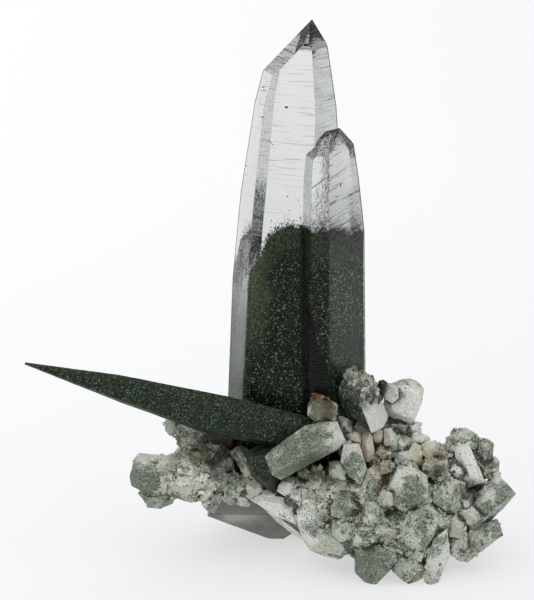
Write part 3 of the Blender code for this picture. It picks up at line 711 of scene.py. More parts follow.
def map_looks(mesh, crystal_layer, whole_layer, edge_layer):
    """Lay a map on each flat face, along and across its growth lines, and set how it looks."""
    grain = mesh.loops.layers.float_vector.new("grain")
    lines, greying, mottle, grit = (mesh.loops.layers.float.new(name)
                                 for name in ("lines", "greying", "mottle", "grit"))
    for face in mesh.faces:
        crystal = face[crystal_layer]
        look = face_look(face, crystal, face[edge_layer])
        left, right = BROAD_FRONT_BETWEEN
        broad_front = crystal == 0 and left < face.normal.x < right and face.normal.y < 0
        front_tip = is_front_tip(face, crystal)
        across = Vector(axis_direction(AXES[crystal])).cross(face.normal).normalized()
        upward = face.normal.cross(across)
        turn = math.radians(look.slope)
        along = across * math.cos(turn) + upward * math.sin(turn)
        rise = upward * math.cos(turn) - across * math.sin(turn)
        for loop in face.loops:
            spot = loop.vert.co
            low = float(fading(spot.z, *LOW_FADE))
            above = float(smooth(spot.z, *CLOUD_SEEN))
            # painted shade, darker down the front tip facets
            dark = TIP_SHADE * float(fading(spot.z, *TIP_SHADE_FADE)) * front_tip
            full = float(smooth(spot.z, *LINES_FADE)) if broad_front else 1.0
            loop[grain] = Vector((spot.dot(along), spot.dot(rise), face[whole_layer] * APART))
            loop[lines] = look.lines
            for share in (above, full):
                loop[lines] *= LINES_FAINT + (1 - LINES_FAINT) * share
            loop[greying] = (look.grey + look.grey_low * low) * above + dark
            loop[grit] = (look.grit + look.grit_low * low) * above
            loop[mottle] = look.lumps * (1 + 2 * low) * above


def outline_edges(mesh):
    """The ends of the upright edges that get dark lines of painted shade, by the ways their faces
    face.
    """
    ends = []
    for edge in mesh.edges:
        ways = [way_faced(face) for face in edge.link_faces if abs(face.normal.z) < TIP_RISE]
        if len(ways) == 2 and any(
                all(min(abs(way - wanted) for way in ways) < OUTLINE_WAY_WITHIN for wanted in pair)
                for pair in OUTLINES):
            ends.append([np.array(vert.co[:]) for vert in edge.verts])
    return ends


def away_from_edges(points, ends):
    """Each point's distance from the nearest of some straight edges."""
    nearest = np.full(len(points), np.inf)
    for start, end in ends:
        along = end - start
        share = np.clip((points - start) @ along / (along @ along), 0, 1)
        spot = start + share[:, None] * along
        nearest = np.minimum(nearest, np.linalg.norm(points - spot, axis=1))
    return nearest


def cut_steps(mesh, rings):
    """Cut the faces at both edges of each growth step, and into columns."""
    for axis, steps in zip(AXES, rings):
        along = axis_direction(axis)
        for height, width, _ in steps:
            for end in (-0.5, 0.5):
                cut(mesh, Vector(along * (height + end * width)), Vector(along))
    for number in COLUMN_NUMBERS:
        cut(mesh, Vector((number * COLUMN_SPACING, 0, 0)), COLUMN_WAYS[0])
        cut(mesh, Vector((0, number * COLUMN_SPACING, 0)), COLUMN_WAYS[1])


def move_steps(mesh, layer, rings):
    """Move the corners in and out for the growth steps, apart from where the crystals meet."""
    points = np.array([vert.co[:] for vert in mesh.verts])
    normals = np.array([vert.normal[:] for vert in mesh.verts])
    owners = [{face[layer] for face in vert.link_faces} for vert in mesh.verts]
    moved = np.zeros(len(points))
    for crystal, axis in enumerate(AXES):
        mine = np.array([owner == {crystal} for owner in owners])
        moved[mine] = step_relief(points[mine], rings[crystal], axis)
        if crystal == 0:
            ways = np.degrees(np.arctan2(normals[:, 0], -normals[:, 1]))
            moved[mine & (ways > DEEP_BETWEEN[0]) & (ways < DEEP_BETWEEN[1])] *= DEEPER
    for vert, step, normal in zip(mesh.verts, moved, normals):
        vert.co += Vector(normal * step)


def striated_pair():
    """The fused clear quartzes with growth steps across their faces."""
    rng = random.Random(SEED)
    mesh = node_mesh("tall_quartz_pair")
    outlines = outline_edges(mesh)
    on_edge = mesh.faces.layers.int.new("on_edge")
    sharp = [edge for edge in mesh.edges
             if edge.calc_face_angle(0.0) > math.radians(PAIR_SHARP)]
    for face in bevel(mesh, sharp, PAIR_BEVEL):
        face[on_edge] = 1
    layer = mark_crystals(mesh)
    whole = mesh.faces.layers.int.new("whole")
    for number, face in enumerate(mesh.faces):
        face[whole] = number
    rings = [striation_rings(crystal, rng) for crystal in range(len(AXES))]
    cut_steps(mesh, rings)
    border = mesh.loops.layers.float.new("border")
    loops = [loop for face in mesh.faces for loop in face.loops]
    spots = np.array([loop.vert.co[:] for loop in loops])
    for loop, away in zip(loops, away_from_edges(spots, outlines)):
        loop[border] = away
    mesh.normal_update()
    map_looks(mesh, layer, whole, on_edge)
    move_steps(mesh, layer, rings)
    data = from_bmesh(mesh, "tall_quartz_pair_clear")
    piece = new_object("tall_quartz_pair_clear", data, clear_quartz_material())
    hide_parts("tall_quartz_pair")


# Chlorite inside the clear quartz

# Its depth under the quartz's faces, its mesh's longest edge, heights where it is cut so that
# its top has enough points, and the height of the solid that its top is formed from
CLOUD_INSET = 0.3
CLOUD_EDGE = 0.62
CLOUD_CUTS = (50, 56)
CLOUD_BLANK_TOP = 66.0

# Height of the cloud's top by x at the front, and how it falls towards the back, in
# millimetres a millimetre by x
CLOUD_TOP = ((-13.5, -11.6, -10.6, -9.6, -7.2, -6.8, -5.5, -3.7, -1.9, 0.4, 2.0, 3.4, 5.0,
              6.1, 8.0, 14.0),
             (34.0, 42.0, 49.0, 53.6, 55.9, 57.4, 60.2, 61.5, 62.1, 61.6, 60.9, 61.6, 60.9,
              59.8, 60.9, 60.4))
CLOUD_FRONT = -8.0
CLOUD_FALL = ((-11.0, -10.0, -8.8, -1), (1.2, 0.9, 0.4, 0.32))

# How deep the pits in it are, the depths below its top where it is mossy and, at its left,
# pale, and how far left and right its sides differ
CLOUD_PITS = 0.22
MOSS_DEPTH = (2.0, 6.5)
PALE_DEPTH = (8.0, 20.0)
PALE_SHARE = 0.9
CLOUD_LEFT = (4.5, 7.5)
CLOUD_RIGHT = (4.0, 7.0)
COARSER_RIGHT = 0.3

# Painted shade on it where the two crystals meet, in the photo's pixels: its middle and reach by
# row and how ragged it is, the same for the painted shade in the corner beside it, and how dark
# each is
GAP_MIDDLE = ((235, 290, 340, 370, 395), (303, 304, 309, 317, 318))
GAP_REACH = ((235, 290, 340, 370, 395), (4, 6, 12, 19, 18))
GAP_RAGGED = 2.5
GAP_CORNER = (352, 350, 26)
CORNER_RAGGED = 6
GAP_SHADE = 0.95
CORNER_SHADE = 0.5

# How strongly its left face is painted lighter, standing in for the pale reflection in the quartz
# face before it, by the photo's rows, how far leftward its normals point there, and where that
# face ends
LEFT_PAINTED_LIGHT = ((270, 300, 320, 360, 385), (1.0, 0.62, 0.36, 0.25, 0.0))
LEFT_FACING = (0.72, 0.86)
LEFT_FACE_END = -9.0

# Where its top is painted lighter too, as painted light from above: how far upward its normals
# point there, leftward from here, backward from here, and above a height
TOP_FACING = (0.2, 0.4)
LEFT_TOP_END = (3.5, 5.5)
LEFT_TOP_BACK = (-6.5, -4.5)
LEFT_TOP_ABOVE = 40

# Loose flakes: how many there are at most and how many are tried, the box that they are tried
# in at a height inside both crystals, how far they rise above the cloud's top and start below
# it, their sizes, how far they stay clear of the faces, and their shape
FLAKE_COUNT = 9000
FLAKE_TRIES = 4 * FLAKE_COUNT
FLAKE_BOX = ((-13, 14), (-12, 9))
FLAKE_TRY_HEIGHT = 58.0
FLAKE_RISE = 0.55
FLAKE_SINK = 0.4
FLAKE_SIZES = (0.06, 0.2)
FLAKE_CLEAR = 0.5
FLAKE = np.array([(1, 0, 0), (-0.6, 0.8, 0), (-0.5, -0.8, 0.1), (0, 0, 0.9)])
FLAKE_SIDES = np.array([(0, 2, 1), (0, 1, 3), (1, 2, 3), (2, 0, 3)])


def inset(mesh, depth):
    """Move every face of a mesh inward by a depth, keeping the faces flat."""
    moved = {}
    for vert in mesh.verts:
        planes = np.array([face.normal[:] for face in vert.link_faces])
        moved[vert] = Vector(np.linalg.lstsq(planes, np.full(len(planes), -depth), rcond=0.02)[0])
    for vert, shift in moved.items():
        vert.co += shift if shift.length < 4 * depth else shift.normalized() * 4 * depth


def cloud_top(points):
    """Height of the mossy top of the chlorite above each x and y."""
    flat = np.column_stack([points[:, :2], np.zeros(len(points))])
    height = np.interp(points[:, 0], *CLOUD_TOP)
    height -= np.interp(points[:, 0], *CLOUD_FALL) * np.maximum(points[:, 1] - CLOUD_FRONT, 0)
    tufts = fractal(flat, 3.4, 3, 5) * 1.4 + np.abs(fractal(flat, 1.1, 3, 9)) * 1.9
    return height + tufts


def painted_gap_shade(points):
    """How dark the painted shade makes each point of the cloud, where the two crystals meet."""
    place = seen(points)
    middle = np.interp(place[:, 1], *GAP_MIDDLE)
    reach = np.interp(place[:, 1], *GAP_REACH)
    away = np.abs(place[:, 0] - middle) + fractal(points, 2.0, 3, 14) * GAP_RAGGED
    x, y, size = GAP_CORNER
    corner = away_from(points, x, y) + fractal(points, 2.0, 3, 15) * CORNER_RAGGED
    return np.maximum(fading(away, reach * 0.5, reach) * GAP_SHADE,
                      fading(corner, size * 0.5, size) * CORNER_SHADE)


def cloud_painted_light(points, normals):
    """How much painted light each point of the cloud has, on its left face and on its top beside
    it.
    """
    face = np.interp(seen(points)[:, 1], *LEFT_PAINTED_LIGHT) * (points[:, 0] < LEFT_FACE_END)
    face *= smooth(-normals[:, 0], *LEFT_FACING)
    top = smooth(normals[:, 2], *TOP_FACING) * smooth(-points[:, 0], *LEFT_TOP_END)
    top *= smooth(points[:, 1], *LEFT_TOP_BACK) * (points[:, 2] > LEFT_TOP_ABOVE)
    return np.maximum(face, top)


def cloud(material):
    """The chlorite's own surface, just under the faces of the clear pair."""
    mesh = node_mesh("tall_quartz_pair")
    inset(mesh, CLOUD_INSET)
    cut(mesh, Vector((0, 0, CLOUD_BLANK_TOP)), Vector((0, 0, 1)), close=True)
    for height in CLOUD_CUTS:
        cut(mesh, Vector((0, 0, height)), Vector((0, 0, 1)))
    refine(mesh, CLOUD_EDGE)
    surface = Surface(mesh)
    points = surface.points
    top = cloud_top(points)
    points[:, 2] = np.minimum(points[:, 2], top)
    points += surface.normals() * (-np.abs(fractal(points, 0.8, 2, 4)) * CLOUD_PITS)[:, None]
    depth = top - points[:, 2] + fractal(points, 2.2, 3, 6) * 3.0
    leftward = smooth(-points[:, 0] + noise(points, 2.0, 8), *CLOUD_LEFT)
    rightward = smooth(points[:, 0], *CLOUD_RIGHT)
    data = surface.data("chlorite_cloud", {
        # painted light on its left face, and on its top beside that
        "painted_light": cloud_painted_light(points, surface.normals()),
        "moss": fading(depth, *MOSS_DEPTH),
        "pale": leftward * fading(depth, *PALE_DEPTH) * PALE_SHARE,
        "coarse": 1 + COARSER_RIGHT * rightward,
        # painted shade where the two crystals meet
        "gap": painted_gap_shade(points),
        "greener": rightward,
    })
    new_object("chlorite_cloud", data, material)


def pair_tree():
    """The fused quartzes, for finding the nearest face or the first one along a line."""
    mesh = node_mesh("tall_quartz_pair")
    tree = BVHTree.FromBMesh(mesh)
    mesh.free()
    return tree


PAIR_TREE = pair_tree()


def inside_pair(points):
    """Which points lie inside the fused quartzes, clear of their faces."""
    kept = []
    for point in points:
        spot, normal, _, away = PAIR_TREE.find_nearest(Vector(point))
        kept.append((Vector(point) - spot).dot(normal) < 0 and away > FLAKE_CLEAR)
    return np.array(kept)


def flakes(material):
    """Loose chlorite flakes that thin out above the top of the cloud."""
    rng = np.random.default_rng(SEED)
    spots = np.column_stack([*(rng.uniform(*span, FLAKE_TRIES) for span in FLAKE_BOX),
                             np.full(FLAKE_TRIES, FLAKE_TRY_HEIGHT)])
    spots = spots[inside_pair(spots)][:FLAKE_COUNT]
    spots[:, 2] = cloud_top(spots) + rng.exponential(FLAKE_RISE, len(spots)) - FLAKE_SINK
    spots = spots[inside_pair(spots)]
    points = []
    for spot, size in zip(spots, rng.uniform(*FLAKE_SIZES, len(spots))):
        turn = np.linalg.qr(rng.normal(size=(3, 3)))[0]
        points.append(FLAKE @ turn * size + spot)
    data = repeated(points, FLAKE_SIDES, "chlorite_flakes")
    new_object("chlorite_flakes", data, material)


# Small blocky crystals that grow on the larger pieces

# Corners and sides of one, its length beside its width, its half width beside its size, how
# deep its middle is beside its size, and the lowest height that it reaches
CRYSTALLITE = np.array([(1, 0, -1), (0, 0.7, -1), (-1, 0, -1), (0, -0.7, -1),
                        (1, 0, 0.55), (0, 0.7, 0.85), (-1, 0, 1.15), (0, -0.7, 0.85)])
CRYSTALLITE_SIDES = np.array([(0, 1, 5), (0, 5, 4), (1, 2, 6), (1, 6, 5), (2, 3, 7),
                              (2, 7, 6), (3, 0, 4), (3, 4, 7), (4, 5, 6), (4, 6, 7),
                              (0, 3, 2), (0, 2, 1)])
CRYSTALLITE_LENGTHS = (0.7, 1.5)
CRYSTALLITE_WIDTH = 0.6
CRYSTALLITE_SINK = 0.2
CRYSTALLITE_LOWEST = 0.02


def crystallites(surface, chosen, sizes, tilt, rng, name):
    """One small crystal at each chosen point, half sunk, leaning at random by a tilt."""
    normals = surface.normals()
    shapes = []
    for index, size in zip(chosen, sizes):
        axis = normals[index] + rng.normal(size=3) * tilt
        axis /= np.linalg.norm(axis)
        across = np.cross(axis, rng.normal(size=3))
        across /= np.linalg.norm(across)
        turned = np.array([across, np.cross(axis, across), axis])
        shape = CRYSTALLITE * np.array((1.0, 1.0, rng.uniform(*CRYSTALLITE_LENGTHS)))
        shape = shape * size * CRYSTALLITE_WIDTH
        shapes.append(shape @ turned + surface.points[index]
                      - normals[index] * size * CRYSTALLITE_SINK)
    shapes = np.array(shapes)
    shapes[..., 2] = np.maximum(shapes[..., 2], CRYSTALLITE_LOWEST)
    return repeated(shapes, CRYSTALLITE_SIDES, name)


def set_for_each(data, **values):
    """Give every corner of each small crystal the number or colour of its own crystal."""
    for label, numbers in values.items():
        numbers = np.repeat(numbers, len(CRYSTALLITE), 0)
        add_attribute(data, label, numbers.astype(np.float32))


# Dark needles and specks just inside the clear quartz: both ends in the photo's pixels, and
# their thickness
INCLUSIONS = (
    ((312, 188), (326, 178), 0.16), ((285, 107), (288, 107.6), 0.36),
    ((340, 183), (340.6, 187), 0.24), ((261, 117), (264, 117), 0.2),
    ((287, 196), (288, 197), 0.2), ((298, 200), (299, 200), 0.18), ((271, 220), (272, 221), 0.2),
    ((270, 141), (273, 145), 0.1), ((335, 196), (337, 197), 0.16), ((329, 166), (333, 165), 0.12),
)
INCLUSION_DEPTH = 0.25
NEEDLE_ACROSS = Vector((0.3, 1.0, 0.2))
PRISM_CORNERS = [(math.cos(turn), math.sin(turn)) for turn in (0.0, 2.1, 4.2)]
PRISM_SIDES = np.array([(0, 1, 4), (0, 4, 3), (1, 2, 5), (1, 5, 4), (2, 0, 3), (2, 3, 5),
                        (0, 2, 1), (3, 4, 5)])


def through_pixel(x, y):
    """Where the sight line of one of the photo's pixels enters the clear pair, and its way."""
    back = Vector(TO_CAMERA)
    scale = CAMERA_SENSOR / CAMERA_LENS / PHOTO_HEIGHT
    way = Vector(((x - PHOTO_WIDTH / 2) * scale, 0, 0)) - back
    way += Vector(PHOTO_UP) * ((PHOTO_HEIGHT / 2 - y) * scale)
    way.normalize()
    return PAIR_TREE.ray_cast(CAMERA_TARGET + back * CAMERA_DISTANCE, way)[0], way


def inclusions(material):
    """Thin three-sided prisms for the needles and specks."""
    shapes = []
    for start, end, thickness in INCLUSIONS:
        tips = [spot + way * INCLUSION_DEPTH
                for spot, way in (through_pixel(*pixel) for pixel in (start, end))]
        along = tips[1] - tips[0]
        across = along.cross(NEEDLE_ACROSS).normalized()
        other = along.cross(across).normalized()
        shapes.append([(tip + (across * x + other * y) * thickness / 2)[:]
                       for tip in tips for x, y in PRISM_CORNERS])
    data = repeated(shapes, PRISM_SIDES, "inclusions")
    new_object("inclusions", data, material)


# The other quartzes

# Width of their bevels, and the turn in degrees from which an edge has one or gets a painted
# highlight
QUARTZ_BEVEL = (0.12, 25, 58)

# The turn from which an edge is chipped, how much of it is, and the turn up to which their
# faces are shaded as one
QUARTZ_CHIPPED = 16
CHIPPED_SHARE = 0.35
QUARTZ_SMOOTH = 28

# Longest edge of each green one's mesh, how uneven it is, and how deep its chips are
GREEN_QUARTZES = {"quartz_blade": (0.55, 0.04, 0.10), "wedge_quartz": (0.4, 0.04, 0.10),
                  "stub_quartz": (0.25, 0.03, 0.06)}
TILTED_FORM = (0.25, 0.10, 0.16)
BASE_FORM = (0.5, 0.05, 0.14)

# How far leftward the tilted quartz's dark side faces, and the heights where it and the white
# foot end
TILTED_DARK_FACING = (0.15, 0.45)
TILTED_DARK_END = (33.5, 35.0)
TILTED_WHITE_END = (30.0, 32.0)

# The small crystals at its top
CLUSTER_COUNT = 420
CLUSTER_SIZES = (0.25, 1.2)
CLUSTER_TILT = 0.6
CLUSTER_DARK = (0.045, 0.047, 0.034)
CLUSTER_LIGHT = (0.56, 0.58, 0.50)

# The base quartz's painted light: its middle and how far it reaches, the rows where the painted
# light at its top gives way, where the painted shade starts to the right, and how ragged these
# are, in the photo's pixels
BASE_LIT = (235, 504)
BASE_LIT_REACH = (12, 34)
BASE_EDGE = (512, 516)
BASE_SHADE = (245, 285)
BASE_RAGGED = 14

# How strong the painted light at its top is, and the painted shade to the right and low down
LIT_TOP = 0.9
SHADE_RIGHT = 0.7
SHADE_LOW = 0.55


def green_quartz_material():
    """Quartz so full of chlorite that it is dark green, with fine pale grains and painted glints,
    and a painted highlight along its sharp edges.
    """
    shade = Shader("chlorite_quartz")
    colour = chlorite_colours(shade, (0.003, 0.008, 0.003), (0.021, 0.040, 0.018),
                              (0.21, 0.255, 0.20), fine=0.6)
    # painted highlight along the sharp edges
    rim = shade.times("rim", shade.patches(1.6, 0.36, 0.6, detail=2))
    colour = shade.mix(shade.times(rim, 0.4), colour, (0.12, 0.14, 0.11))
    shade.set(Base_Color=colour, Roughness=0.40, IOR=1.5, Specular_IOR_Level=0.16)
    shade.bump((shade.noise(0.25, roughness=0.7), 0.05, 0.6))
    return shade.material


def frosted_material():
    """The tilted quartz: dark chlorite at its left, frosted white low down, grainy at its top."""
    shade = Shader("frosted_quartz")
    grain = shade.noise(0.5, detail=5, roughness=0.8)
    top = shade.mix(shade.between(grain, 0.38, 0.62), (0.075, 0.078, 0.056), (0.42, 0.43, 0.38))
    white = shade.mix(shade.between(grain, 0.3, 0.7), (0.44, 0.46, 0.43), (0.70, 0.72, 0.68))
    dark = chlorite_colours(shade, (0.008, 0.013, 0.007), (0.045, 0.062, 0.038),
                            (0.42, 0.47, 0.40), 0.6, fine=0.85)
    colour = shade.mix("white", top, white)
    colour = shade.mix("dark", colour, dark)
    shade.set(Base_Color=colour, Roughness=0.38, IOR=1.54, Subsurface_Weight=0.15,
              Subsurface_Scale=0.4 * MM)
    shade.bump((grain, 0.16, 0.9))
    return shade.material


def grey_material():
    """The base quartz: grey and cloudy, with painted light at its top and upper left, and painted
    shade to the right and low down.
    """
    shade = Shader("grey_quartz")
    veils = shade.patches(3.0, 0.35, 0.65, detail=5, roughness=0.7, distortion=0.8)
    colour = shade.mix(veils, (0.15, 0.153, 0.138), (0.31, 0.315, 0.29))
    # painted light at its top and upper left
    colour = shade.mix("pale", colour, (0.36, 0.365, 0.34))
    # painted shade to the right and low down
    colour = shade.mix("painted_shade", colour, (0.105, 0.108, 0.092))
    fine = shade.noise(0.4, detail=4, roughness=0.7)
    colour = shade.mix(shade.between(fine, 0.55, 0.7, 0.0, 0.5), colour, (0.10, 0.10, 0.09))
    shade.set(Base_Color=colour, Roughness=0.42, IOR=1.54, Subsurface_Weight=0.3,
              Subsurface_Scale=1.2 * MM)
    shade.bump((fine, 0.05, 0.6))
    return shade.material


def glassy_material():
    """Glassy crystals, each of its own colour."""
    shade = Shader("glassy_crystals")
    shade.set(Base_Color=shade.attribute("tint", "Color"), Roughness=0.18, IOR=1.54,
              Subsurface_Weight=0.2, Subsurface_Scale=0.5 * MM)
    shade.bump((shade.noise(0.4, roughness=0.7), 0.06, 0.8))
    return shade.material


def relief(node, form, material, zones=None):
    """A node's surface with fine unevenness and chipped edges, in its place."""
    longest, bumps, chips = form
    mesh = node_mesh(node)
    rim = bevelled(mesh, *QUARTZ_BEVEL)
    refine(mesh, longest)
    surface = Surface(mesh, rim)
    near_edge = surface.spread(surface.rims(QUARTZ_CHIPPED), 1)
    uneven = fractal(surface.points, 1.4, 3, 2) * bumps
    uneven -= near_edge * (CHIPPED_SHARE + fractal(surface.points, 0.9, 2, 8)).clip(0) * chips
    attributes = {"rim": surface.marks}
    if zones:
        attributes.update(zones(surface.points, surface.spread(surface.normals(), 2)))
    surface.move(uneven)
    name = f"{node}_surface"
    piece = new_object(name, surface.data(name, attributes), material, QUARTZ_SMOOTH)
    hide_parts(node)
    return surface


def tilted_zones(points, normals):
    """Where the tilted quartz is dark, and where it is white."""
    ragged = fractal(points, 1.6, 3, 12)
    height = points[:, 2] + 1.6 * ragged
    dark = smooth(-normals[:, 0] + 0.25 * ragged, *TILTED_DARK_FACING)
    dark *= 1 - 0.8 * smooth(height, *TILTED_DARK_END)
    return {"dark": dark, "white": fading(height, *TILTED_WHITE_END) * (1 - dark)}


def base_zones(points, normals):
    """Where the base quartz has painted light, and where it has painted shade."""
    place = seen(points)
    ragged = fractal(points, 3.0, 3, 16) * BASE_RAGGED
    pale = np.maximum(fading(away_from(points, *BASE_LIT) + ragged, *BASE_LIT_REACH),
                      LIT_TOP * fading(place[:, 1], *BASE_EDGE))
    painted_shade = np.maximum(SHADE_RIGHT * smooth(place[:, 0] + ragged, *BASE_SHADE),
                      SHADE_LOW * smooth(place[:, 1], *BASE_EDGE))
    return {"pale": pale, "painted_shade": painted_shade * (1 - pale)}


def tilted_cluster(surface, material):
    """Small glassy crystals all over the upper end of the tilted quartz."""
    rng = np.random.default_rng(SEED)
    zones = tilted_zones(surface.points, surface.normals())
    weight = (1 - zones["dark"]) * (1 - zones["white"]) ** 2
    chosen = rng.choice(len(weight), CLUSTER_COUNT, replace=False, p=weight / weight.sum())
    low, high = CLUSTER_SIZES
    sizes = low + (high - low) * rng.random(CLUSTER_COUNT) ** 2
    data = crystallites(surface, chosen, sizes, CLUSTER_TILT, rng, "tilted_cluster")
    bright = rng.random(CLUSTER_COUNT) ** 1.5
    tint = np.array(CLUSTER_DARK) + np.outer(bright, np.subtract(CLUSTER_LIGHT, CLUSTER_DARK))
    set_for_each(data, tint=tint)
    new_object("tilted_cluster", data, material)


def other_quartzes(glassy):
    """The blade, wedge, stub, tilted quartz and base quartz."""
    green = green_quartz_material()
    for node, form in GREEN_QUARTZES.items():
        relief(node, form, green)
    tilted = relief("tilted_quartz", TILTED_FORM, frosted_material(),
                    tilted_zones)
    tilted_cluster(tilted, glassy)
    relief("base_quartz", BASE_FORM, grey_material(), base_zones)


# Adularia

# Longest edges of its mesh: where it is rough, on clean crystals (within a share of their
# reach), and behind a plane
ADULARIA_EDGE = 0.5
CLEAN_EDGE = 1.0
CLEAN_SHARE = 0.9
BACK_EDGE = 1.3
BACK_FROM = 2.5

# Width of its bevels, the turn in degrees from which an edge has one or gets a painted highlight,
# and the turn up to which its faces are shaded as one
ADULARIA_BEVEL = (0.24, 22, 48)
ADULARIA_SMOOTH = 32

# Its unevenness: size of the features, octaves and seed, then the depth in millimetres on clean
# crystals and what is added to it on rough ones
UNEVEN = ((3.0, 2, 6, 0.16, 0.0), (1.5, 3, 2, 0.05, 0.14))
PITTED = (0.8, 2, 3, 0.02, 0.12)

# How broad the valleys are that darken with painted shade and dirt, and how much they count beside
# the narrow ones
VALLEY_ROUNDS = 40
VALLEY_SHARE = 0.32

# Depth over which what the photo shows fades towards the back, and how ragged its edges are
STAINS_FADE = (2.0, 9.0)
STAIN_EDGE = (0.62, 1.0)
STAIN_RAGGED = 0.28
TINT_VARIES = 0.22

WHITE = (0.46, 0.485, 0.41)
PURE = (0.74, 0.76, 0.70)
GREY = (0.26, 0.275, 0.235)
BEIGE = (0.44, 0.375, 0.26)
PINK = (0.60, 0.53, 0.43)
YELLOW = (0.42, 0.35, 0.17)
OLIVE = (0.15, 0.135, 0.07)
SAND = (0.10, 0.092, 0.048)
BROWN = (0.045, 0.034, 0.020)
RUST = (0.22, 0.06, 0.02)
ORANGE = (0.20, 0.060, 0.010)

# Colours of the places named, stains and painted shade, each with its middle and reach in the
# photo's pixels, and how fully the colour covers
STAINS_AND_SHADE = {
    "left slab": (190, 490, 32, PURE, 0.4), "left slab upper": (152, 461, 18, PURE, 0.5),
    "long slab": (285, 520, 44, PURE, 0.9), "long slab root": (255, 478, 18, PINK, 0.5),
    "hanging crystal": (352, 452, 22, PURE, 0.35), "front block rim": (335, 440, 14, PURE, 0.3),
    "top right block": (404, 405, 26, PURE, 0.95), "standing crystal": (468, 466, 26, PURE, 0.9),
    "middle crystal": (398, 478, 22, PURE, 0.6), "low right crystal": (438, 552, 24, PURE, 0.7),
    "right block": (482, 500, 26, PURE, 0.3), "bottom lump": (362, 562, 16, GREY, 0.4),
    "left column": (190, 440, 24, OLIVE, 0.4), "left column edge": (182, 425, 12, GREY, 0.6),
    "beige crystals": (372, 437, 24, PINK, 0.9), "beige crystals low": (380, 462, 18, BEIGE, 0.9),
    "bumps": (420, 446, 26, PURE, 0.4), "bumps stain": (421, 452, 13, YELLOW, 0.5),
    "bumps low": (438, 460, 14, BEIGE, 0.7), "pale corner": (383, 484, 10, YELLOW, 0.6),
    "beige lump": (321, 410, 20, SAND, 1.0), "lump shade": (331, 402, 10, BROWN, 0.85),
    "orange stain": (316, 394, 7, ORANGE, 0.9), "lump light": (317, 414, 7, GREY, 0.3),
    # the recess, its stain and the cavity: painted shade, and brown and olive stain
    "recess": (222, 452, 30, BROWN, 0.9), "rust": (251, 446, 9, RUST, 0.9),
    "recess stain and shade": (196, 455, 12, OLIVE, 0.8), "cavity": (315, 468, 22, OLIVE, 0.7),
    "brown crystal": (401, 428, 10, BROWN, 0.85), "yellow seed": (379, 443, 5, YELLOW, 0.9),
    # cavities and gaps: painted shade, and brown stain
    "right cavity": (472, 492, 14, BROWN, 0.85), "small cavity": (441, 470, 9, BROWN, 0.8),
    "seed cavity": (400, 466, 5, BROWN, 0.5), "block gap": (461, 490, 9, BROWN, 0.8),
    "column gap": (405, 435, 7, BROWN, 0.7), "low gap": (437, 474, 6, BROWN, 0.7),
}

# Where green dust lies thickest: middle, reach and amount
DUST = {
    "left slab end": (142, 482, 20, 1.15), "left slab low": (158, 502, 12, 0.8),
    "front block": (298, 450, 36, 1.05), "front block end": (276, 462, 14, 0.9),
    "hanging crystal": (353, 466, 13, 1.0), "middle crystal": (412, 492, 16, 1.1),
    "middle low": (404, 506, 12, 0.9), "green crystal": (345, 505, 16, 0.9),
    "green slope": (362, 522, 24, 0.7), "long slab end": (318, 515, 22, 0.75),
    "square crystal": (448, 500, 18, 0.7), "speckled slab": (420, 535, 28, 0.8),
    "right lumps": (489, 455, 15, 1.0), "right block end": (506, 492, 16, 1.0),
    "right block low edge": (490, 512, 12, 0.9),
    "right block foot": (490, 530, 18, 0.8), "bottom lump": (372, 563, 24, 1.1),
    "top right block": (400, 389, 12, 0.6), "back of bumps": (455, 480, 12, 0.5),
}

# Larger crystals with clean faces, which carry no small ones
CLEAN = {
    "front block": (286, 462, 34), "front block right": (325, 440, 30),
    "hanging crystal": (350, 462, 26), "top right block": (404, 402, 30),
    "standing crystal": (468, 466, 27), "middle crystal": (402, 488, 27),
    "right block": (478, 515, 24), "right block end": (505, 492, 20),
    "long slab": (262, 505, 34), "long slab end": (300, 535, 32),
    "left slab": (142, 474, 20), "left slab foot": (155, 504, 15),
    "beige lump": (320, 408, 20), "low right crystal": (438, 552, 26),
    "square crystal": (448, 500, 20), "green crystal": (345, 505, 20),
    "bottom lump": (370, 562, 26), "bumps": (418, 446, 20), "right lumps": (486, 455, 14),
    "beige crystals": (372, 440, 22), "lower slab": (330, 540, 16),
}

# Places where larger ones of these crystals sit in a groove: middle, half width, half height
# in the photo's pixels, and how many
PLUGS = ((188, 475, 30, 4, 46), (318, 472, 10, 6, 9), (296, 492, 16, 5, 14), (205, 458, 12, 8, 14),
         (212, 494, 12, 6, 14), (340, 478, 8, 6, 6))
PLUG_SIZES = (0.7, 1.6)

# These and the splinters are only in front of here
FRONT_BEFORE = 4.0

# The iron stained splinters: their place in the photo's pixels, number, sizes and colours
RUST_PLACE = (322, 397, 13, 5)
RUST_COUNT = 60
RUST_SIZES = (0.3, 0.8)
RUST_TILT = 0.7
RUST_FACING = 0.1
RUST_TINTS = (ORANGE, (0.075, 0.022, 0.008), (0.025, 0.017, 0.010), (0.55, 0.47, 0.36))
RUST_SHARES = (0.33, 0.32, 0.31, 0.04)

# Green dust where no place is named, a darker green added on faces that look down, and how far
# down they look, the share that clean crystals go without, and how much wider the dust spreads
DUST_ELSEWHERE = 0.42
GREEN_BELOW = 0.45
GREEN_FACING = (0.0, 0.6)
DUST_LESS = 0.6
DUST_SPREAD = 1.2

# The small crystals: number, sizes, how they lean and the lowest place, where they are many
# (share elsewhere, patches of noise, hollows in millimetres, way faced), and their brightness
# and share of the dust beside those of the surface
SMALL_COUNT = 7000
SMALL_SIZES = (0.25, 0.95)
SMALL_TILT = 0.45
SMALL_LOWEST = 1.0
SMALL_ELSEWHERE = 0.15
SMALL_PATCHES = (-0.1, 0.5)
SMALL_HOLLOWS = (0.0, 0.10)
SMALL_FACING = (-0.6, -0.1)
SMALL_BRIGHT = (0.85, 1.4)
SMALL_DUST = (0.3, 1.0)


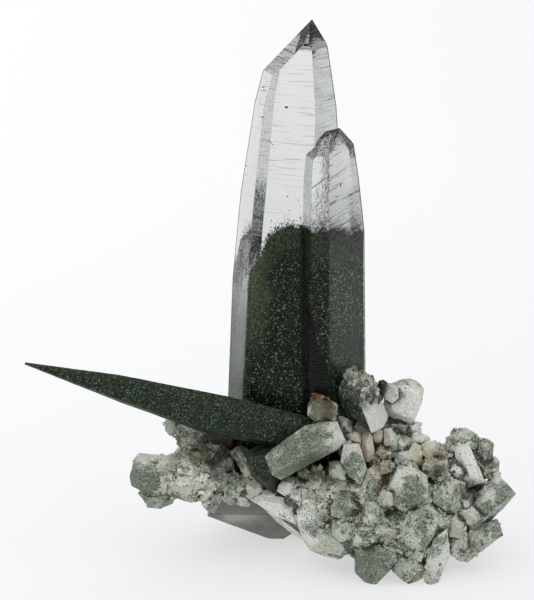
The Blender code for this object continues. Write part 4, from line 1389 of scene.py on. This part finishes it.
def cover(points, x, y, reach, seed):
    """How far a stain or painted shade covers each point: 1 inside it, 0 outside, with a ragged
    edge.
    """
    away = away_from(points, x, y) / reach
    away += fractal(points, 1.6, 3, seed) * STAIN_RAGGED
    return fading(away, *STAIN_EDGE) * fading(points[:, 1], *STAINS_FADE)


def in_front(points, oval):
    """Which points show inside an oval in the photo, and lie in front of a plane."""
    return (away_from(points, *oval) < 1) & (points[:, 1] < FRONT_BEFORE)


def adularia_edge(points):
    """The longest edge that the adularia's mesh may have at each point."""
    place = seen(points)
    longest = np.where(points[:, 1] > BACK_FROM, BACK_EDGE, ADULARIA_EDGE)
    for x, y, reach in CLEAN.values():
        near = np.hypot(place[:, 0] - x, place[:, 1] - y) < reach * CLEAN_SHARE
        longest[near] = np.maximum(longest[near], CLEAN_EDGE)
    return longest


def adularia_colours(points, facing):
    """Each point's colour, amount of green, from dust and on faces that look down, and how rough
    and overgrown it is.
    """
    colour = np.array(WHITE) * (1 + TINT_VARIES * fractal(points, 7.0, 2, 11)[:, None])
    # stains, and painted shade in the recess, cavities and gaps
    for number, (x, y, reach, tint, strength) in enumerate(STAINS_AND_SHADE.values()):
        share = cover(points, x, y, reach, number)[:, None] * strength
        colour = colour * (1 - share) + np.array(tint) * share
    clean = np.zeros(len(points))
    for x, y, reach in CLEAN.values():
        clean = np.maximum(clean, cover(points, x, y, reach, 3))
    green = DUST_ELSEWHERE + GREEN_BELOW * smooth(-facing[:, 2], *GREEN_FACING)
    green *= 1 - DUST_LESS * clean
    for number, (x, y, reach, amount) in enumerate(DUST.values()):
        share = cover(points, x, y, reach * DUST_SPREAD, number + 40)
        green = np.maximum(green, share * amount)
    return colour, green, 1 - clean


def adularia(glassy):
    """The matrix with its fine relief, and what grows on it."""
    mesh = node_mesh("adularia_matrix")
    rim = bevelled(mesh, *ADULARIA_BEVEL)
    refine(mesh, adularia_edge)
    surface = Surface(mesh, rim)
    points = surface.points
    facing = surface.spread(surface.normals(), 1)
    colour, green, rough = adularia_colours(points, facing)
    uneven = sum(fractal(points, size, octaves, seed) * (depth + more * rough)
                 for size, octaves, seed, depth, more in UNEVEN)
    size, octaves, seed, depth, more = PITTED
    uneven += np.abs(fractal(points, size, octaves, seed)) * (depth + more * rough)
    surface.move(uneven)
    # the depth in hollows, which the material darkens with painted shade and dirt
    hollow = np.maximum(surface.hollows(), VALLEY_SHARE * surface.hollows(VALLEY_ROUNDS))
    material = adularia_material()
    data = surface.data("adularia_surface", {"rim": surface.marks, "hollow": hollow,
                                             "tint": colour, "green": green, "rough": rough})
    piece = new_object("adularia_surface", data, material, ADULARIA_SMOOTH)
    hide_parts("adularia_matrix")
    small_adularia(surface, rough, material)
    rust(surface, glassy)


def small_adularia(surface, rough, material):
    """Small blocky crystals, half sunk in the rough places between the large ones."""
    rng = np.random.default_rng(SEED)
    normals = surface.normals()
    hollow = surface.spread(surface.hollows(8), 2)
    patches = smooth(fractal(surface.points, 3.5, 2, 21), *SMALL_PATCHES)
    weight = rough ** 2 * (SMALL_ELSEWHERE + patches)
    weight *= (surface.points[:, 2] > SMALL_LOWEST) * smooth(hollow, *SMALL_HOLLOWS)
    weight *= smooth(normals[:, 2], *SMALL_FACING) * adularia_edge(surface.points) ** 2
    chosen = rng.choice(len(weight), SMALL_COUNT, replace=False, p=weight / weight.sum())
    low, high = SMALL_SIZES
    sizes = low + (high - low) * rng.random(SMALL_COUNT) ** 3.2
    for *oval, count in PLUGS:
        near = np.flatnonzero(in_front(surface.points, oval))
        chosen = np.append(chosen, rng.choice(near, count))
        sizes = np.append(sizes, rng.uniform(*PLUG_SIZES, count))
    data = crystallites(surface, chosen, sizes, SMALL_TILT, rng, "adularia_small")
    colour, green, _ = adularia_colours(surface.points[chosen], normals[chosen])
    colour *= rng.uniform(*SMALL_BRIGHT, len(chosen))[:, None]
    green *= rng.uniform(*SMALL_DUST, len(chosen))
    none = np.zeros(len(chosen))
    set_for_each(data, tint=colour, green=green, rough=none, hollow=none, rim=none)
    new_object("adularia_small", data, material)


def rust(surface, material):
    """Iron stained splinters behind the sandy lump."""
    rng = np.random.default_rng(SEED)
    near = in_front(surface.points, RUST_PLACE)
    near &= surface.normals()[:, 2] > RUST_FACING
    chosen = rng.choice(np.flatnonzero(near), RUST_COUNT)
    sizes = rng.uniform(*RUST_SIZES, RUST_COUNT)
    data = crystallites(surface, chosen, sizes, RUST_TILT, rng, "rust_splinters")
    kind = rng.choice(len(RUST_TINTS), RUST_COUNT, p=RUST_SHARES)
    set_for_each(data, tint=np.array(RUST_TINTS)[kind])
    new_object("rust_splinters", data, material)


# Studio

# The floor: half its width in metres, how much of its light is a glow of its own, where its
# painted light changes backward and to the right, and its tones, painted darker near and to the
# right
FLOOR_HALF = 4.0
FLOOR_GLOW = 0.62
FLOOR_DEPTH = (0.0, 0.30)
FLOOR_SIDE = (-0.15, 0.15)
FLOOR_NEAR = (0.93, 0.935, 0.94)
FLOOR_FAR = (0.965, 0.965, 0.968)
FLOOR_RIGHT = (0.93, 0.933, 0.94)

# The light: its level all round, its level above, and where it climbs between them
LIGHT_LEVEL = 0.75
LIGHT_ABOVE = 1.26
LIGHT_CLIMB = (0.1, 0.9)
MOST_BOUNCES = 24
GLASS_BOUNCES = 16


def camera():
    """The camera of the photograph."""
    data = bpy.data.cameras.new("camera")
    data.lens = CAMERA_LENS
    data.sensor_fit = 'VERTICAL'
    data.sensor_height = CAMERA_SENSOR
    data.sensor_width = CAMERA_SENSOR
    data.clip_start, data.clip_end = CAMERA_CLIP
    holder = bpy.data.objects.new("camera", data)
    holder.location = (CAMERA_TARGET + ORIGIN + Vector(TO_CAMERA) * CAMERA_DISTANCE) * MM
    holder.rotation_euler = (math.radians(90 - CAMERA_ELEVATION), 0, 0)
    bpy.context.scene.collection.objects.link(holder)
    bpy.context.scene.camera = holder


def floor():
    """A pale table that glows, painted a little brighter far away and to the left."""
    mesh = bmesh.new()
    bmesh.ops.create_grid(mesh, x_segments=1, y_segments=1, size=FLOOR_HALF)
    data = bpy.data.meshes.new("floor")
    mesh.to_mesh(data)
    mesh.free()
    shade = Shader("pale_floor")
    split = shade.node("ShaderNodeSeparateXYZ", Vector=shade.where)
    tone = shade.mix(shade.between(split.outputs["Y"], *FLOOR_DEPTH), FLOOR_NEAR, FLOOR_FAR)
    side = shade.between(split.outputs["X"], *FLOOR_SIDE)
    tone = shade.mix(side, tone, FLOOR_RIGHT, 'MULTIPLY')
    shade.set(Base_Color=shade.mix(1.0, tone, (1 - FLOOR_GLOW,) * 3, 'MULTIPLY'), Roughness=0.9,
              Specular_IOR_Level=0.0, Emission_Color=tone, Emission_Strength=FLOOR_GLOW)
    data.materials.append(shade.material)
    plane = bpy.data.objects.new("floor", data)
    bpy.context.scene.collection.objects.link(plane)


def studio():
    """Soft light from all round, a little stronger from above."""
    scene = bpy.context.scene
    world = bpy.data.worlds.new("studio")
    scene.world = world
    world.use_nodes = True
    nodes = Nodes(world.node_tree)
    way = nodes.node("ShaderNodeTexCoord").outputs["Generated"]
    split = nodes.node("ShaderNodeSeparateXYZ", Vector=way)
    level = nodes.between(split.outputs["Z"], *LIGHT_CLIMB, LIGHT_LEVEL, LIGHT_ABOVE)
    background = nodes.tree.nodes["Background"]
    nodes.put(background.inputs["Strength"], level)
    nodes.put(background.inputs["Color"], (1.0, 1.0, 1.0))
    scene.view_settings.view_transform = 'Standard'
    scene.cycles.max_bounces = MOST_BOUNCES
    scene.cycles.glossy_bounces = GLASS_BOUNCES
    scene.cycles.transmission_bounces = GLASS_BOUNCES


striated_pair()
chlorite = cloud_material()
cloud(chlorite)
flakes(chlorite)
inclusions(chlorite)
glassy = glassy_material()
other_quartzes(glassy)
adularia(glassy)
camera()
floor()
studio()
